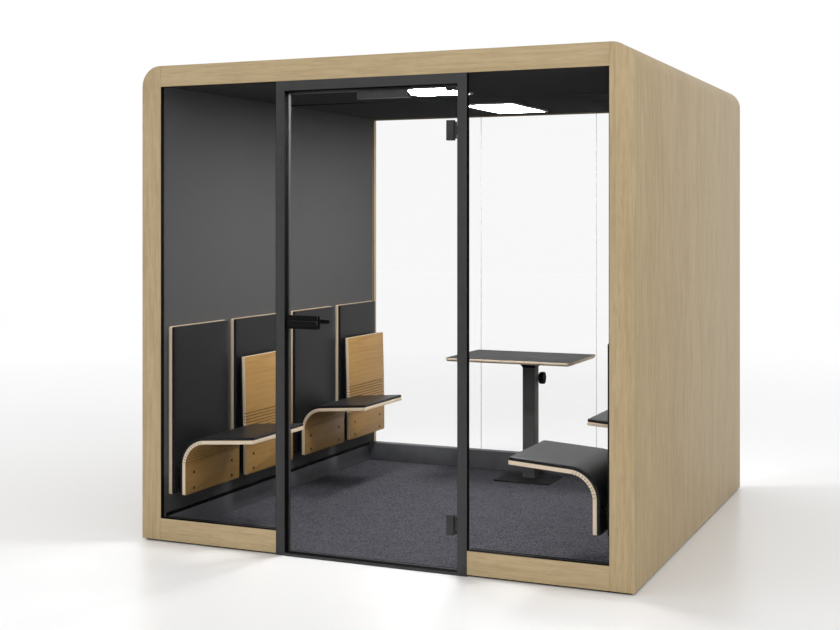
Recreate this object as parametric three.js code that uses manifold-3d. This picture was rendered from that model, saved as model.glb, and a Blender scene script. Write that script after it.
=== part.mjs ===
// An acoustic office pod: an oak shell with rounded roof edges and glazed ends,
// a glass door with a closer, plywood seats that fold down from both side walls
// on a kerf-cut bend, and a table on a telescopic column.
// Millimetres, +Z up. The door faces -Y. The origin is on the ground, below the
// middle of the shell.

import * as THREE from "three";
import { mergeVertices } from "three/addons/utils/BufferGeometryUtils.js";
import Module from "manifold-3d";

const wasm = await Module();
wasm.setup();

// Clearance between pieces that seat on each other, and running clearance.
const FIT = 0.3;
const RUN = 0.5;

// Shell
const WIDTH = 2410;
const DEPTH = 2390;
const HEIGHT = 2270;
const WALL = 105;
const ROOF = 100;
const ROOF_RADIUS = 98;
const STILE_DEPTH = 45;
const RAIL_HEIGHT = 103;
const FRONT_RAIL_DEPTH = 45;
const REAR_RAIL_DEPTH = 85;
const LINING = 10;
const LINING_SET_BACK = 4;
const SEAM_WIDTH = 9;
const SEAM_DEPTH = 7;

// Floor
const PLINTH = 8;
const PLINTH_INSET = 15;
const FLOOR = 2;
const CARPET = 4;

// Glazing
const PANE = 12;
const PANE_SET_BACK = 26;
const REAR_PANES = 3;
const PANE_JOINT = 3;

// Ceiling lights
const LIGHT_WIDTH = 300;
const LIGHT_LENGTH = 600;
const LIGHT_THICKNESS = 10;

// Door frame and leaf
const FRAME_WIDTH = 940;
const FRAME_FACE = 44;
const FRAME_DEPTH = 61;
const FRAME_HEAD_DEPTH = 85;
const FRAME_REBATE = 24;
const THRESHOLD = 12;
const LEAF_GAP = 4;
const LEAF = 10;
const LEAF_SET_BACK = 24;

// Door hinges: a bracket on the jamb and a clamp on the leaf, joined by a pin
const HINGE_AXIS_INSET = 18;
const HINGE_HEIGHT = 88;
const HINGE_TOP_DROP = 197;
const HINGE_BOTTOM_RISE = 194;
const HINGE_BRACKET_THICKNESS = 3.7;
const HINGE_BRACKET_DEPTH = 36;
const HINGE_TONGUE_HEIGHT = 40;
const HINGE_PIN_RADIUS = 2.5;
const CLAMP_LENGTH = 34.5;
const CLAMP_PLATE = 6;
const CLAMP_LAP = 7;
const CLAMP_AXIS_GAP = 6.5;

// Lock
const CASE_LENGTH = 158;
const CASE_HEIGHT = 62;
const CASE_PLATE = 12;
const CASE_CORE_LENGTH = 120;
const CASE_CORE_HEIGHT = 40;
const LOCK_Z = 1068;
const SPINDLE_INSET = 50;
const SPINDLE_RADIUS = 7;
const LEVER_LENGTH = 132;
const LEVER_HEIGHT = 20;
const LEVER_THICKNESS = 11;
const LEVER_STAND_OFF = 40;
const ROSE_RADIUS = 13;
const ROSE_THICKNESS = 5;
const LATCH_HEIGHT = 22;
const LATCH_THICKNESS = 8;
const LATCH_LENGTH = 34;
const LATCH_THROW = 10;

// Door closer: the body rides on the leaf, the link turns on a bracket at the head
const CLOSER_LENGTH = 254;
const CLOSER_HEIGHT = 36;
const CLOSER_DEPTH = 28;
const CLOSER_TOP_GAP = 8;
const CLOSER_TO_HINGE = 229;
const CLOSER_STEP_LENGTH = 52;
const CLOSER_PIVOT_INSET = 18;
const CLOSER_STEP_DROP = 18;
const CLOSER_CHEEK = 3;
const ARM_REACH_X = -50;
const ARM_REACH_Y = 62;
const ARM_WIDTH = 18;
const ARM_THICKNESS = 6;
const ARM_PIN_RADIUS = 5;
const ARM_PIN_DEPTH = 8;
const LINK_WIDTH = 14;
const LINK_THICKNESS = 5;
const LINK_PIN_RADIUS = 4;
const SHOE_WIDTH = 44;
const SHOE_PLATE = 7;
const SHOE_HEIGHT = 34;

// Seats: a back panel, a batten, and a board on a kerf-cut fold above a tab
const SEAT_END_GAP = 72;
const SEAT_GAP = 70;
const SEAT_MIDDLE_GAP = 138;
const PLY = 18;
const PAD = 16;
const CORNER_RADIUS = 9;
const PANEL_BOTTOM_Z = 212;
const PANEL_HEIGHT = 808;
const BATTEN_INSET = 36;
const BATTEN_HEIGHT = 100;
const BATTEN_THICKNESS = 27;
const TAB_BOTTOM_Z = 213;
const TAB_LENGTH = 142.5;
const FOLD_LENGTH = 190.6;
const BOARD_LENGTH = 277;
const DOWN_ANGLE = THREE.MathUtils.degToRad(86);
const UP_ANGLE = THREE.MathUtils.degToRad(-1.5);
const KERFS = 12;
const KERF_WIDTH = 3.2;
const KERF_SKIN = 4;

// Table
const TABLE_X = -8;
const TABLE_REAR_GAP = 5;
const TABLE_WIDTH = 750;
const TABLE_DEPTH = 530;
const TABLE_HEIGHT = 735;
const TABLE_THICKNESS = 21;
const TABLE_CHAMFER = 9;
const TABLE_CORNER = 12;
const COLUMN_OFFSET_X = 38;
const COLUMN_OFFSET_Y = 54;
const COLUMN_WIDTH = 76;
const COLUMN_DEPTH = 78;
const COLUMN_CORNER = 6;
const COLUMN_WALL = 3;
const BUSH_HEIGHT = 30;
const POST_WIDTH = 66;
const POST_DEPTH = 68;
const POST_CORNER = 5;
const POST_WALL = 3;
const POST_CLEARANCE = 45;
const HEAD_WIDTH = 128;
const HEAD_DEPTH = 130;
const HEAD_HEIGHT = 48;
const FOOT_WIDTH = 342;
const FOOT_DEPTH = 258;
const FOOT_REACH = 52;
const FOOT_THICKNESS = 6;
const FOOT_CORNER = 18;
const LUG_WIDTH = 44;
const LUG_HEIGHT = 40;
const LUG_INSET = 8;
const LUG_MARGIN = 14;
const KNOB_DROP = 138.5;
const KNOB_RADIUS = 36;
const KNOB_WIDTH = 26;
const KNOB_LOBES = 6;
const KNOB_LOBE_DEPTH = 4;
const KNOB_GAP = 1.5;
const KNOB_HUB_RADIUS = 15;
const KNOB_HUB_LENGTH = 4;
const STEM_RADIUS = 6;
const STEM_LENGTH = 36;

// Faces that several pieces share
const sideX = WIDTH / 2;
const endY = DEPTH / 2;
const insideX = sideX - WALL;
const insideY = endY - STILE_DEPTH;
const frontRailY = endY - FRONT_RAIL_DEPTH;
const rearRailY = endY - REAR_RAIL_DEPTH;
const liningX = insideX + LINING_SET_BACK;
const floorZ = PLINTH + FLOOR;
const carpetZ = floorZ + CARPET;
const railZ = PLINTH + RAIL_HEIGHT;
const headZ = HEIGHT - ROOF;
const ceilingZ = headZ + LINING_SET_BACK;
const frameX = FRAME_WIDTH / 2;
const openX = frameX - FRAME_FACE;
const frameTopZ = headZ - FIT;
const openTopZ = frameTopZ - FRAME_FACE;
const rebateX = frameX - FRAME_REBATE;
const frameBackY = -endY + FRAME_DEPTH;
const frameHeadY = -endY + FRAME_HEAD_DEPTH;
const leafY = -endY + LEAF_SET_BACK + LEAF / 2;
const leafX = openX - LEAF_GAP;
const leafBottomZ = THRESHOLD + LEAF_GAP;
const leafTopZ = openTopZ - LEAF_GAP;
const hingeX = openX - HINGE_AXIS_INSET;
const hingeTopZ = leafTopZ - HINGE_TOP_DROP;
const hingeBottomZ = leafBottomZ + HINGE_BOTTOM_RISE;
const clampX = hingeX - CLAMP_AXIS_GAP;
const bracketX = openX - FIT - HINGE_BRACKET_THICKNESS;
const notchX = clampX - CLAMP_LENGTH + CLAMP_LAP;
const notchHeight = HINGE_HEIGHT - 2 * CLAMP_LAP;

const seatWidth = (DEPTH - 2 * SEAT_END_GAP - 2 * SEAT_GAP - SEAT_MIDDLE_GAP) / 4;
const seatNearY = (SEAT_MIDDLE_GAP + seatWidth) / 2;
const seatFarY = seatNearY + seatWidth + SEAT_GAP;
const tableY = endY - PANE_SET_BACK - PANE - TABLE_REAR_GAP - TABLE_DEPTH / 2;

// Finishes
const OAK = new THREE.MeshStandardMaterial({ color: 0xbea778, roughness: 0.6 });
const PLYWOOD = new THREE.MeshStandardMaterial({ color: 0xb4874f, roughness: 0.6 });
const FELT = new THREE.MeshStandardMaterial({ color: 0x5a5858, roughness: 0.95 });
const CARPET_PILE = new THREE.MeshStandardMaterial({ color: 0x4e4e56, roughness: 1 });
const CHARCOAL = new THREE.MeshStandardMaterial({ color: 0x333336, roughness: 0.5, metalness: 0.6 });
const BLACK = new THREE.MeshStandardMaterial({ color: 0x1b1b1d, roughness: 0.5, metalness: 0.3 });
const LAMINATE = new THREE.MeshStandardMaterial({ color: 0x5f6063, roughness: 0.7 });
const DIFFUSER = new THREE.MeshStandardMaterial({ color: 0xffffff, emissive: 0xfff4e4 });
const CLEAR = new THREE.MeshStandardMaterial({
  color: 0xeef4f4,
  roughness: 0.03,
  transparent: true,
  opacity: 0.2,
});

// Turns a closed geometry into a solid that can be cut and joined.
function solid(geometry) {
  const bare = geometry.clone();
  bare.deleteAttribute("normal");
  bare.deleteAttribute("uv");
  const merged = mergeVertices(bare, 1e-4);
  return new wasm.Manifold(
    new wasm.Mesh({
      numProp: 3,
      vertProperties: new Float32Array(merged.attributes.position.array),
      triVerts: new Uint32Array(merged.index.array),
    }),
  );
}

// Turns a solid back into a geometry.
function geometryOf(made) {
  const mesh = made.getMesh();
  const geometry = new THREE.BufferGeometry();
  geometry.setAttribute("position", new THREE.BufferAttribute(mesh.vertProperties, 3));
  geometry.setIndex(new THREE.BufferAttribute(mesh.triVerts, 1));
  geometry.computeVertexNormals();
  return geometry;
}

// A block between two corners.
function block(x0, x1, y0, y1, z0, z1) {
  const geometry = new THREE.BoxGeometry(x1 - x0, y1 - y0, z1 - z0);
  geometry.translate((x0 + x1) / 2, (y0 + y1) / 2, (z0 + z1) / 2);
  return solid(geometry);
}

// The directions that a drawing's two axes and its extrusion take in space.
const DRAWN = {
  x: [new THREE.Vector3(0, 1, 0), new THREE.Vector3(0, 0, 1), new THREE.Vector3(1, 0, 0)],
  y: [new THREE.Vector3(1, 0, 0), new THREE.Vector3(0, 0, 1), new THREE.Vector3(0, -1, 0)],
  z: [new THREE.Vector3(1, 0, 0), new THREE.Vector3(0, 1, 0), new THREE.Vector3(0, 0, 1)],
};

// Extrudes a drawing along an axis, from one place to another: a drawing holds
// (y, z) for the x axis, (x, z) for the y axis and (x, y) for the z axis.
function prism(shape, axis, from, to, curveSegments = 6) {
  const geometry = new THREE.ExtrudeGeometry(shape, {
    depth: to - from,
    bevelEnabled: false,
    curveSegments,
  });
  const start = axis === "y" ? to : from;
  const along = new THREE.Vector3(axis === "x" ? 1 : 0, axis === "y" ? 1 : 0, axis === "z" ? 1 : 0);
  geometry.applyMatrix4(new THREE.Matrix4().makeBasis(...DRAWN[axis]));
  geometry.translate(...along.multiplyScalar(start));
  return solid(geometry);
}

// A round bar along an axis, from one place to another, at two further coordinates.
function bar(axis, radius, a, b, from, to, sides = 24) {
  const shape = new THREE.Shape();
  shape.absarc(a, b, radius, 0, Math.PI * 2);
  return prism(shape, axis, from, to, sides);
}

// A rectangle between two corners, with its corners rounded.
function rounded(a0, a1, b0, b1, radius) {
  const shape = new THREE.Shape();
  shape.moveTo(a0 + radius, b0);
  shape.lineTo(a1 - radius, b0);
  shape.absarc(a1 - radius, b0 + radius, radius, -Math.PI / 2, 0);
  shape.lineTo(a1, b1 - radius);
  shape.absarc(a1 - radius, b1 - radius, radius, 0, Math.PI / 2);
  shape.lineTo(a0 + radius, b1);
  shape.absarc(a0 + radius, b1 - radius, radius, Math.PI / 2, Math.PI);
  shape.lineTo(a0, b0 + radius);
  shape.absarc(a0 + radius, b0 + radius, radius, Math.PI, Math.PI * 1.5);
  return shape;
}

// A closed outline through points.
function outline(points) {
  return new THREE.Shape(points.map(([a, b]) => new THREE.Vector2(a, b)));
}

// A flat bar with round ends between two places, seen from above.
function strap(from, to, width) {
  const along = Math.atan2(to.y - from.y, to.x - from.x);
  const shape = new THREE.Shape();
  shape.absarc(to.x, to.y, width / 2, along - Math.PI / 2, along + Math.PI / 2);
  shape.absarc(from.x, from.y, width / 2, along + Math.PI / 2, along + Math.PI * 1.5);
  return shape;
}

const pod = new THREE.Group();

// Adds a named piece to a group.
function piece(name, made, material, parent = pod) {
  const mesh = new THREE.Mesh(geometryOf(made), material);
  mesh.name = name;
  parent.add(mesh);
  return mesh;
}

// Side walls: the stiles and the rounded roof edge are one with the wall, which
// is hollowed between the stiles for its felt lining.
function sideWall(name, side) {
  const profile = new THREE.Shape();
  profile.moveTo(insideX, PLINTH);
  profile.lineTo(sideX, PLINTH);
  profile.lineTo(sideX, HEIGHT - ROOF_RADIUS);
  profile.absarc(sideX - ROOF_RADIUS, HEIGHT - ROOF_RADIUS, ROOF_RADIUS, 0, Math.PI / 2);
  profile.lineTo(insideX, HEIGHT);
  const hollow = block(insideX - RUN, liningX + LINING, -insideY, insideY, floorZ, headZ);
  const wall = prism(profile, "y", -endY, endY, 10).subtract(hollow);
  const group = new THREE.Group();
  group.rotation.z = side > 0 ? 0 : Math.PI;
  pod.add(group);
  piece(name + "_wall", wall, OAK, group);
  const felt = block(
    liningX, liningX + LINING - FIT, FIT - insideY, insideY - FIT, floorZ + FIT, headZ - FIT,
  );
  piece(name + "_lining", felt, FELT, group);
}

// Roof slab between the walls, its front and rear edges being the top rails.
function roof() {
  const slab = block(FIT - insideX, insideX - FIT, -endY, endY, headZ, HEIGHT);
  const hollow = block(-sideX, sideX, -insideY, insideY, headZ - RUN, ceilingZ + LINING);
  piece("roof", slab.subtract(hollow), OAK);
  const x = insideX - FIT;
  const y = insideY - FIT;
  const seam = block(-sideX, sideX, -SEAM_WIDTH / 2, SEAM_WIDTH / 2, headZ, ceilingZ + SEAM_DEPTH);
  const ceiling = block(-x, x, -y, y, ceilingZ, ceilingZ + LINING - FIT);
  piece("ceiling_lining", ceiling.subtract(seam), FELT);
}

// Floor plate on its set-back plinth, with room for the door frame, and the carpet.
function floor() {
  const px = sideX - PLINTH_INSET;
  const py = endY - PLINTH_INSET;
  const plinth = block(-px, px, -py, py, 0, PLINTH);
  const x = insideX - FIT;
  const y0 = FIT - frontRailY;
  const y1 = rearRailY - FIT;
  const plate = block(-x, x, y0, y1, 0, floorZ);
  const doorway = block(-frameX - FIT, frameX + FIT, -endY, frameBackY + FIT, -RUN, floorZ + RUN);
  piece("floor_plate", plinth.add(plate).subtract(doorway), BLACK);
  const mat = block(-x, x, y0, y1, floorZ, carpetZ);
  const step = block(-frameX - FIT, frameX + FIT, -endY, frameBackY + FIT, 0, HEIGHT);
  piece("carpet", mat.subtract(step), CARPET_PILE);
}

// Bottom rails: two at the front, on either side of the door, and one at the rear.
function bottomRails() {
  const x0 = frameX + FIT;
  const x1 = insideX - FIT;
  piece("front_rail_left", block(-x1, -x0, -endY, -frontRailY, PLINTH, railZ), OAK);
  piece("front_rail_right", block(x0, x1, -endY, -frontRailY, PLINTH, railZ), OAK);
  piece("rear_rail", block(-x1, x1, rearRailY, endY, PLINTH, railZ), OAK);
}

// Fixed panes: one on each side of the door, and a row across the rear.
function panes() {
  const x0 = rebateX + FIT;
  const x1 = insideX - FIT;
  const near = -endY + PANE_SET_BACK;
  const far = endY - PANE_SET_BACK;
  const z0 = railZ + FIT;
  const z1 = headZ - FIT;
  piece("front_glass_left", block(-x1, -x0, near, near + PANE, z0, z1), CLEAR);
  piece("front_glass_right", block(x0, x1, near, near + PANE, z0, z1), CLEAR);
  const pitch = (2 * x1 + PANE_JOINT) / REAR_PANES;
  for (let i = 0; i < REAR_PANES; i++) {
    const left = -x1 + i * pitch;
    const pane = block(left, left + pitch - PANE_JOINT, far - PANE, far, z0, z1);
    piece("rear_glass_" + (i + 1), pane, CLEAR);
  }
}

// Flat lights under the ceiling, one over each half of the room, with a chamfered rim.
function lights() {
  const rim = LIGHT_THICKNESS / 2;
  const x = LIGHT_WIDTH / 2;
  const y = LIGHT_LENGTH / 2;
  const z = ceilingZ - LIGHT_THICKNESS;
  for (const [name, side] of [["light_front", -1], ["light_rear", 1]]) {
    const middle = (side * DEPTH) / 4;
    const across = outline([
      [rim - x, z], [x - rim, z], [x, z + rim], [x, ceilingZ], [-x, ceilingZ], [-x, z + rim],
    ]);
    const along = outline([
      [middle - y + rim, z], [middle + y - rim, z], [middle + y, z + rim],
      [middle + y, ceilingZ], [middle - y, ceilingZ], [middle - y, z + rim],
    ]);
    const panel = prism(across, "y", middle - y, middle + y).intersect(prism(along, "x", -x, x));
    piece(name, panel, DIFFUSER);
  }
}

// Door frame: jambs, a deeper head and a threshold in one, with a rebate behind its
// face for the fixed pane on each side, and the pocket for the latch.
function doorFrame() {
  const body = block(-frameX, frameX, -endY, frameBackY, 0, frameTopZ);
  const head = block(-rebateX, rebateX, -endY, frameHeadY, openTopZ, frameTopZ);
  const opening = block(-openX, openX, -endY - RUN, frameBackY + RUN, THRESHOLD, openTopZ);
  let ring = body.add(head).subtract(opening);
  const paneY = -endY + PANE_SET_BACK - FIT;
  for (const [x0, x1] of [[-frameX - RUN, -rebateX], [rebateX, frameX + RUN]]) {
    ring = ring.subtract(block(x0, x1, paneY, frameBackY + RUN, railZ, frameTopZ + RUN));
  }
  const y = LATCH_THICKNESS / 2 + 2 * RUN;
  const z = LATCH_HEIGHT / 2 + 2 * RUN;
  const depth = LATCH_THROW + 2 * RUN;
  const pocket = block(-openX - depth, -openX + RUN, leafY - y, leafY + y, LOCK_Z - z, LOCK_Z + z);
  piece("door_frame", ring.subtract(pocket), CHARCOAL);
}

// Door leaf: one pane with notches for the two hinge clamps and for the lock case.
function doorLeaf() {
  const y0 = leafY - LEAF / 2;
  const y1 = leafY + LEAF / 2;
  let pane = block(-leafX, leafX, y0, y1, leafBottomZ, leafTopZ);
  for (const z of [hingeTopZ, hingeBottomZ]) {
    const half = notchHeight / 2;
    const full = HINGE_HEIGHT / 2 + 2 * RUN;
    const notch = block(notchX, leafX + RUN, y0 - RUN, y1 + RUN, z - half, z + half);
    const relief = block(bracketX - 4 * RUN, leafX + RUN, y0 - RUN, y1 + RUN, z - full, z + full);
    pane = pane.subtract(notch).subtract(relief);
  }
  const half = CASE_CORE_HEIGHT / 2 + FIT;
  const end = -leafX + CASE_CORE_LENGTH + FIT;
  pane = pane.subtract(block(-leafX - RUN, end, y0 - RUN, y1 + RUN, LOCK_Z - half, LOCK_Z + half));
  piece("door_glass", pane, CLEAR);
}

// A tongue that reaches from a face to a round end about an axis at x.
function tongue(x, faceX, z0, z1) {
  const half = LEAF / 2;
  const x0 = Math.min(x, faceX);
  const x1 = Math.max(x, faceX);
  return bar("z", half, x, leafY, z0, z1).add(block(x0, x1, leafY - half, leafY + half, z0, z1));
}

// Door hinge: a bracket on the jamb holds a tongue, and the clamp on the leaf has
// a lug above and below it, with the pin through all three.
function doorHinge(name, z) {
  const half = HINGE_HEIGHT / 2;
  const middle = HINGE_TONGUE_HEIGHT / 2;
  const reach = HINGE_BRACKET_DEPTH / 2;
  const plate = block(bracketX, openX - FIT, leafY - reach, leafY + reach, z - half, z + half);
  const bore = bar("z", HINGE_PIN_RADIUS + FIT, hingeX, leafY, z - middle - RUN, z + middle + RUN);
  const arm = tongue(hingeX, bracketX + RUN, z - middle, z + middle);
  piece(name + "_bracket", plate.add(arm).subtract(bore), CHARCOAL);

  const x0 = clampX - CLAMP_LENGTH;
  const face = LEAF / 2 + FIT;
  const inner = notchHeight / 2 - FIT;
  const coreEnd = hingeX - LEAF / 2 - 2 * FIT;
  const near = block(x0, clampX, leafY - face - CLAMP_PLATE, leafY - face, z - half, z + half);
  const far = block(x0, clampX, leafY + face, leafY + face + CLAMP_PLATE, z - half, z + half);
  const coreX = Math.min(coreEnd, clampX);
  const core = block(notchX + FIT, coreX, leafY - face, leafY + face, z - inner, z + inner);
  const lugFrom = middle + RUN;
  const top = tongue(hingeX, notchX + 2 * FIT, z + lugFrom, z + inner);
  const bottom = tongue(hingeX, notchX + 2 * FIT, z - inner, z - lugFrom);
  const pin = bar("z", HINGE_PIN_RADIUS, hingeX, leafY, z - inner, z + inner);
  piece(name + "_clamp", near.add(far).add(core).add(top).add(bottom).add(pin), CHARCOAL);
}

// Lock: a case over both faces of the leaf, a lever on each side on one spindle,
// and the latch that the levers draw back out of the jamb.
function lock() {
  const face = LEAF / 2 + FIT;
  const back = face + CASE_PLATE;
  const x0 = -leafX;
  const x1 = x0 + CASE_LENGTH;
  const z0 = LOCK_Z - CASE_HEIGHT / 2;
  const z1 = LOCK_Z + CASE_HEIGHT / 2;
  const core = CASE_CORE_HEIGHT / 2;
  const spindleX = x0 + SPINDLE_INSET;
  const plateShape = rounded(x0, x1, z0, z1, 4);
  const near = prism(plateShape, "y", leafY - back, leafY - face);
  const far = prism(plateShape, "y", leafY + face, leafY + back);
  const web = block(x0, x0 + CASE_CORE_LENGTH, leafY - face, leafY + face, LOCK_Z - core, LOCK_Z + core);
  const bore = bar("y", SPINDLE_RADIUS + RUN, spindleX, LOCK_Z, leafY - back - RUN, leafY + back + RUN);
  const ly = LATCH_THICKNESS / 2;
  const lz = LATCH_HEIGHT / 2;
  const inner = x0 + LATCH_LENGTH;
  const channel = block(
    x0 - RUN, inner + RUN, leafY - ly - FIT, leafY + ly + FIT, LOCK_Z - lz - FIT, LOCK_Z + lz + FIT,
  );
  piece("lock_case", near.add(far).add(web).subtract(bore).subtract(channel), BLACK);

  const tip = -openX - LATCH_THROW + RUN;
  const bolt = outline([
    [inner - LATCH_THROW, leafY - ly], [inner - LATCH_THROW, leafY + ly], [tip, leafY + ly],
    [tip, leafY + ly - 2], [tip + LATCH_THICKNESS - 2, leafY - ly],
  ]);
  piece("latch_bolt", prism(bolt, "z", LOCK_Z - lz, LOCK_Z + lz), CHARCOAL);

  const reach = back + LEVER_STAND_OFF;
  let handle = bar("y", SPINDLE_RADIUS, spindleX, LOCK_Z, leafY - reach, leafY + reach);
  const grip = rounded(
    spindleX - LEVER_HEIGHT / 2, spindleX + LEVER_LENGTH,
    LOCK_Z - LEVER_HEIGHT / 2, LOCK_Z + LEVER_HEIGHT / 2, LEVER_HEIGHT / 2 - RUN,
  );
  for (const side of [-1, 1]) {
    const faceY = leafY + side * (back + FIT);
    const roseY = faceY + side * ROSE_THICKNESS;
    const gripY = leafY + side * reach;
    const gripEnd = gripY + side * LEVER_THICKNESS;
    const rose = bar("y", ROSE_RADIUS, spindleX, LOCK_Z, Math.min(faceY, roseY), Math.max(faceY, roseY));
    const lever = prism(grip, "y", Math.min(gripY, gripEnd), Math.max(gripY, gripEnd));
    handle = handle.add(rose).add(lever);
  }
  piece("lever_handle", handle, BLACK);
}

// Door closer. The arm, the link, the leaf and the head form a parallelogram, so
// the link turns with the door and the arm keeps its direction.
function closer() {
  const face = leafY + LEAF / 2 + FIT;
  const back = face + CLOSER_DEPTH;
  const x1 = hingeX - CLOSER_TO_HINGE;
  const x0 = x1 - CLOSER_LENGTH;
  const z1 = leafTopZ - CLOSER_TOP_GAP;
  const z0 = z1 - CLOSER_HEIGHT;
  const stepZ = z1 - CLOSER_STEP_DROP;
  const stepX = x1 - CLOSER_STEP_LENGTH;
  const pivot = new THREE.Vector2(x1 - CLOSER_PIVOT_INSET, (face + back) / 2);
  const box = prism(rounded(x0, x1, face, back, 5), "z", z0, z1);
  const step = block(stepX, x1 + RUN, face + CLOSER_CHEEK, back + RUN, stepZ, z1 + RUN);
  const socketZ = stepZ - ARM_PIN_DEPTH;
  const socket = bar("z", ARM_PIN_RADIUS + FIT, pivot.x, pivot.y, socketZ, stepZ + RUN);
  piece("closer_body", box.subtract(step).subtract(socket), CHARCOAL);

  const elbow = new THREE.Vector2(pivot.x + ARM_REACH_X, pivot.y + ARM_REACH_Y);
  const armZ = stepZ + FIT;
  const linkZ = armZ + ARM_THICKNESS + FIT;
  const linkTop = linkZ + LINK_THICKNESS;
  const armBar = prism(strap(pivot, elbow, ARM_WIDTH), "z", armZ, armZ + ARM_THICKNESS);
  const armPin = bar("z", ARM_PIN_RADIUS, pivot.x, pivot.y, socketZ + FIT, armZ + RUN);
  const elbowPin = bar("z", LINK_PIN_RADIUS, elbow.x, elbow.y, armZ, linkTop);
  piece("closer_arm", armBar.add(armPin).add(elbowPin), CHARCOAL);

  const anchor = new THREE.Vector2(hingeX + ARM_REACH_X, leafY + ARM_REACH_Y);
  const linkBar = prism(strap(elbow, anchor, LINK_WIDTH), "z", linkZ, linkTop);
  const eyes = [elbow, anchor].map((eye) =>
    bar("z", LINK_PIN_RADIUS + FIT, eye.x, eye.y, linkZ - RUN, linkTop + RUN),
  );
  piece("closer_link", linkBar.subtract(eyes[0]).subtract(eyes[1]), CHARCOAL);

  const seatY = frameHeadY + FIT;
  const shoeZ = linkTop + FIT;
  const shoe = SHOE_WIDTH / 2;
  const x2 = anchor.x - shoe;
  const x3 = anchor.x + shoe;
  const plate = block(x2, x3, seatY, seatY + SHOE_PLATE, shoeZ, shoeZ + SHOE_HEIGHT);
  const shelf = block(x2, x3, seatY, anchor.y, shoeZ, shoeZ + SHOE_PLATE);
  const nose = bar("z", shoe, anchor.x, anchor.y, shoeZ, shoeZ + SHOE_PLATE);
  const shoePin = bar("z", LINK_PIN_RADIUS, anchor.x, anchor.y, linkZ, shoeZ + RUN);
  piece("closer_bracket", plate.add(shelf).add(nose).add(shoePin), CHARCOAL);
}

// Places along a seat's bend, on the face between plywood and pad. The bend starts
// upright and turns evenly to its full angle. Each place has its own direction.
function bendPlace(distance, angle) {
  const turned = (angle * distance) / FOLD_LENGTH;
  const radius = FOLD_LENGTH / angle;
  return {
    into: radius * (1 - Math.cos(turned)),
    up: radius * Math.sin(turned),
    turned,
  };
}

// A point beside the bend: positive depths are in the plywood, negative in the pad.
function bendPoint(distance, depth, angle, along = 0) {
  const place = bendPlace(distance, angle);
  const across = [Math.cos(place.turned), -Math.sin(place.turned)];
  const ahead = [Math.sin(place.turned), Math.cos(place.turned)];
  return [
    place.into + depth * across[0] + along * ahead[0],
    place.up + depth * across[1] + along * ahead[1],
  ];
}

// Side view of the tab and the bend, with one rib of plywood between each two
// kerfs. The ribs stay straight, and the kerfs close as the bend turns.
function foldOutline(angle) {
  const points = [[PLY, -TAB_LENGTH]];
  const pitch = FOLD_LENGTH / KERFS;
  const half = (pitch - KERF_WIDTH) / 2;
  for (let i = 0; i < KERFS; i++) {
    const middle = (i + 0.5) * pitch;
    if (i > 0) {
      points.push(bendPoint(middle, KERF_SKIN, angle, -half));
      points.push(bendPoint(middle, PLY, angle, -half));
    }
    if (i < KERFS - 1) {
      points.push(bendPoint(middle, PLY, angle, half));
      points.push(bendPoint(middle, KERF_SKIN, angle, half));
    }
  }
  points.push(bendPoint(FOLD_LENGTH, PLY, angle));
  for (let i = KERFS; i >= 0; i--) {
    points.push(bendPoint(i * pitch, -PAD, angle));
  }
  points.push([-PAD, -TAB_LENGTH]);
  return outline(points);
}

// One seat against a wall: its group stands on the lining, with x into the room.
function seat(name, wall, y, angle) {
  const group = new THREE.Group();
  group.position.set(wall * liningX, y, 0);
  group.rotation.z = wall > 0 ? Math.PI : 0;
  pod.add(group);
  const half = seatWidth / 2;
  const battenEnd = half - BATTEN_INSET;
  const panelFace = FIT + PLY + PAD;
  const panelTop = PANEL_BOTTOM_Z + PANEL_HEIGHT;
  const board = rounded(-half, half, PANEL_BOTTOM_Z, panelTop, CORNER_RADIUS);
  const panel = prism(board, "x", FIT, panelFace);
  const battenZ = TAB_BOTTOM_Z + (TAB_LENGTH - BATTEN_HEIGHT) / 2;
  const batten = block(
    panelFace - RUN, panelFace + BATTEN_THICKNESS,
    -battenEnd, battenEnd, battenZ, battenZ + BATTEN_HEIGHT,
  );
  piece(name + "_back", panel.add(batten), PLYWOOD, group);

  const hinge = new THREE.Group();
  hinge.position.set(panelFace + BATTEN_THICKNESS + FIT + PAD, 0, TAB_BOTTOM_Z + TAB_LENGTH);
  group.add(hinge);
  const reach = FOLD_LENGTH + TAB_LENGTH;
  const corners = rounded(-half, half, -TAB_LENGTH, 2 * reach, CORNER_RADIUS);
  const trim = prism(corners, "x", -2 * reach, 2 * reach);
  piece(name + "_fold", prism(foldOutline(angle), "y", -half, half).intersect(trim), PLYWOOD, hinge);

  const tip = new THREE.Shape();
  tip.moveTo(-half, FIT);
  tip.lineTo(half, FIT);
  tip.lineTo(half, BOARD_LENGTH - CORNER_RADIUS);
  tip.absarc(half - CORNER_RADIUS, BOARD_LENGTH - CORNER_RADIUS, CORNER_RADIUS, 0, Math.PI / 2);
  tip.lineTo(CORNER_RADIUS - half, BOARD_LENGTH);
  tip.absarc(CORNER_RADIUS - half, BOARD_LENGTH - CORNER_RADIUS, CORNER_RADIUS, Math.PI / 2, Math.PI);
  const end = bendPlace(FOLD_LENGTH, angle);
  const seatBoard = piece(name + "_board", prism(tip, "x", -PAD, PLY), PLYWOOD, hinge);
  seatBoard.position.set(end.into, 0, end.up);
  seatBoard.rotation.y = angle;
}

// Four seats on each wall, in pairs. The first and third from the door are down.
function seats() {
  const places = [-seatFarY, -seatNearY, seatNearY, seatFarY];
  for (const [side, wall] of [["left", -1], ["right", 1]]) {
    places.forEach((y, i) => {
      const angle = i % 2 === 0 ? DOWN_ANGLE : UP_ANGLE;
      seat("seat_" + side + "_" + (i + 1), wall, y, angle);
    });
  }
}

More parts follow.
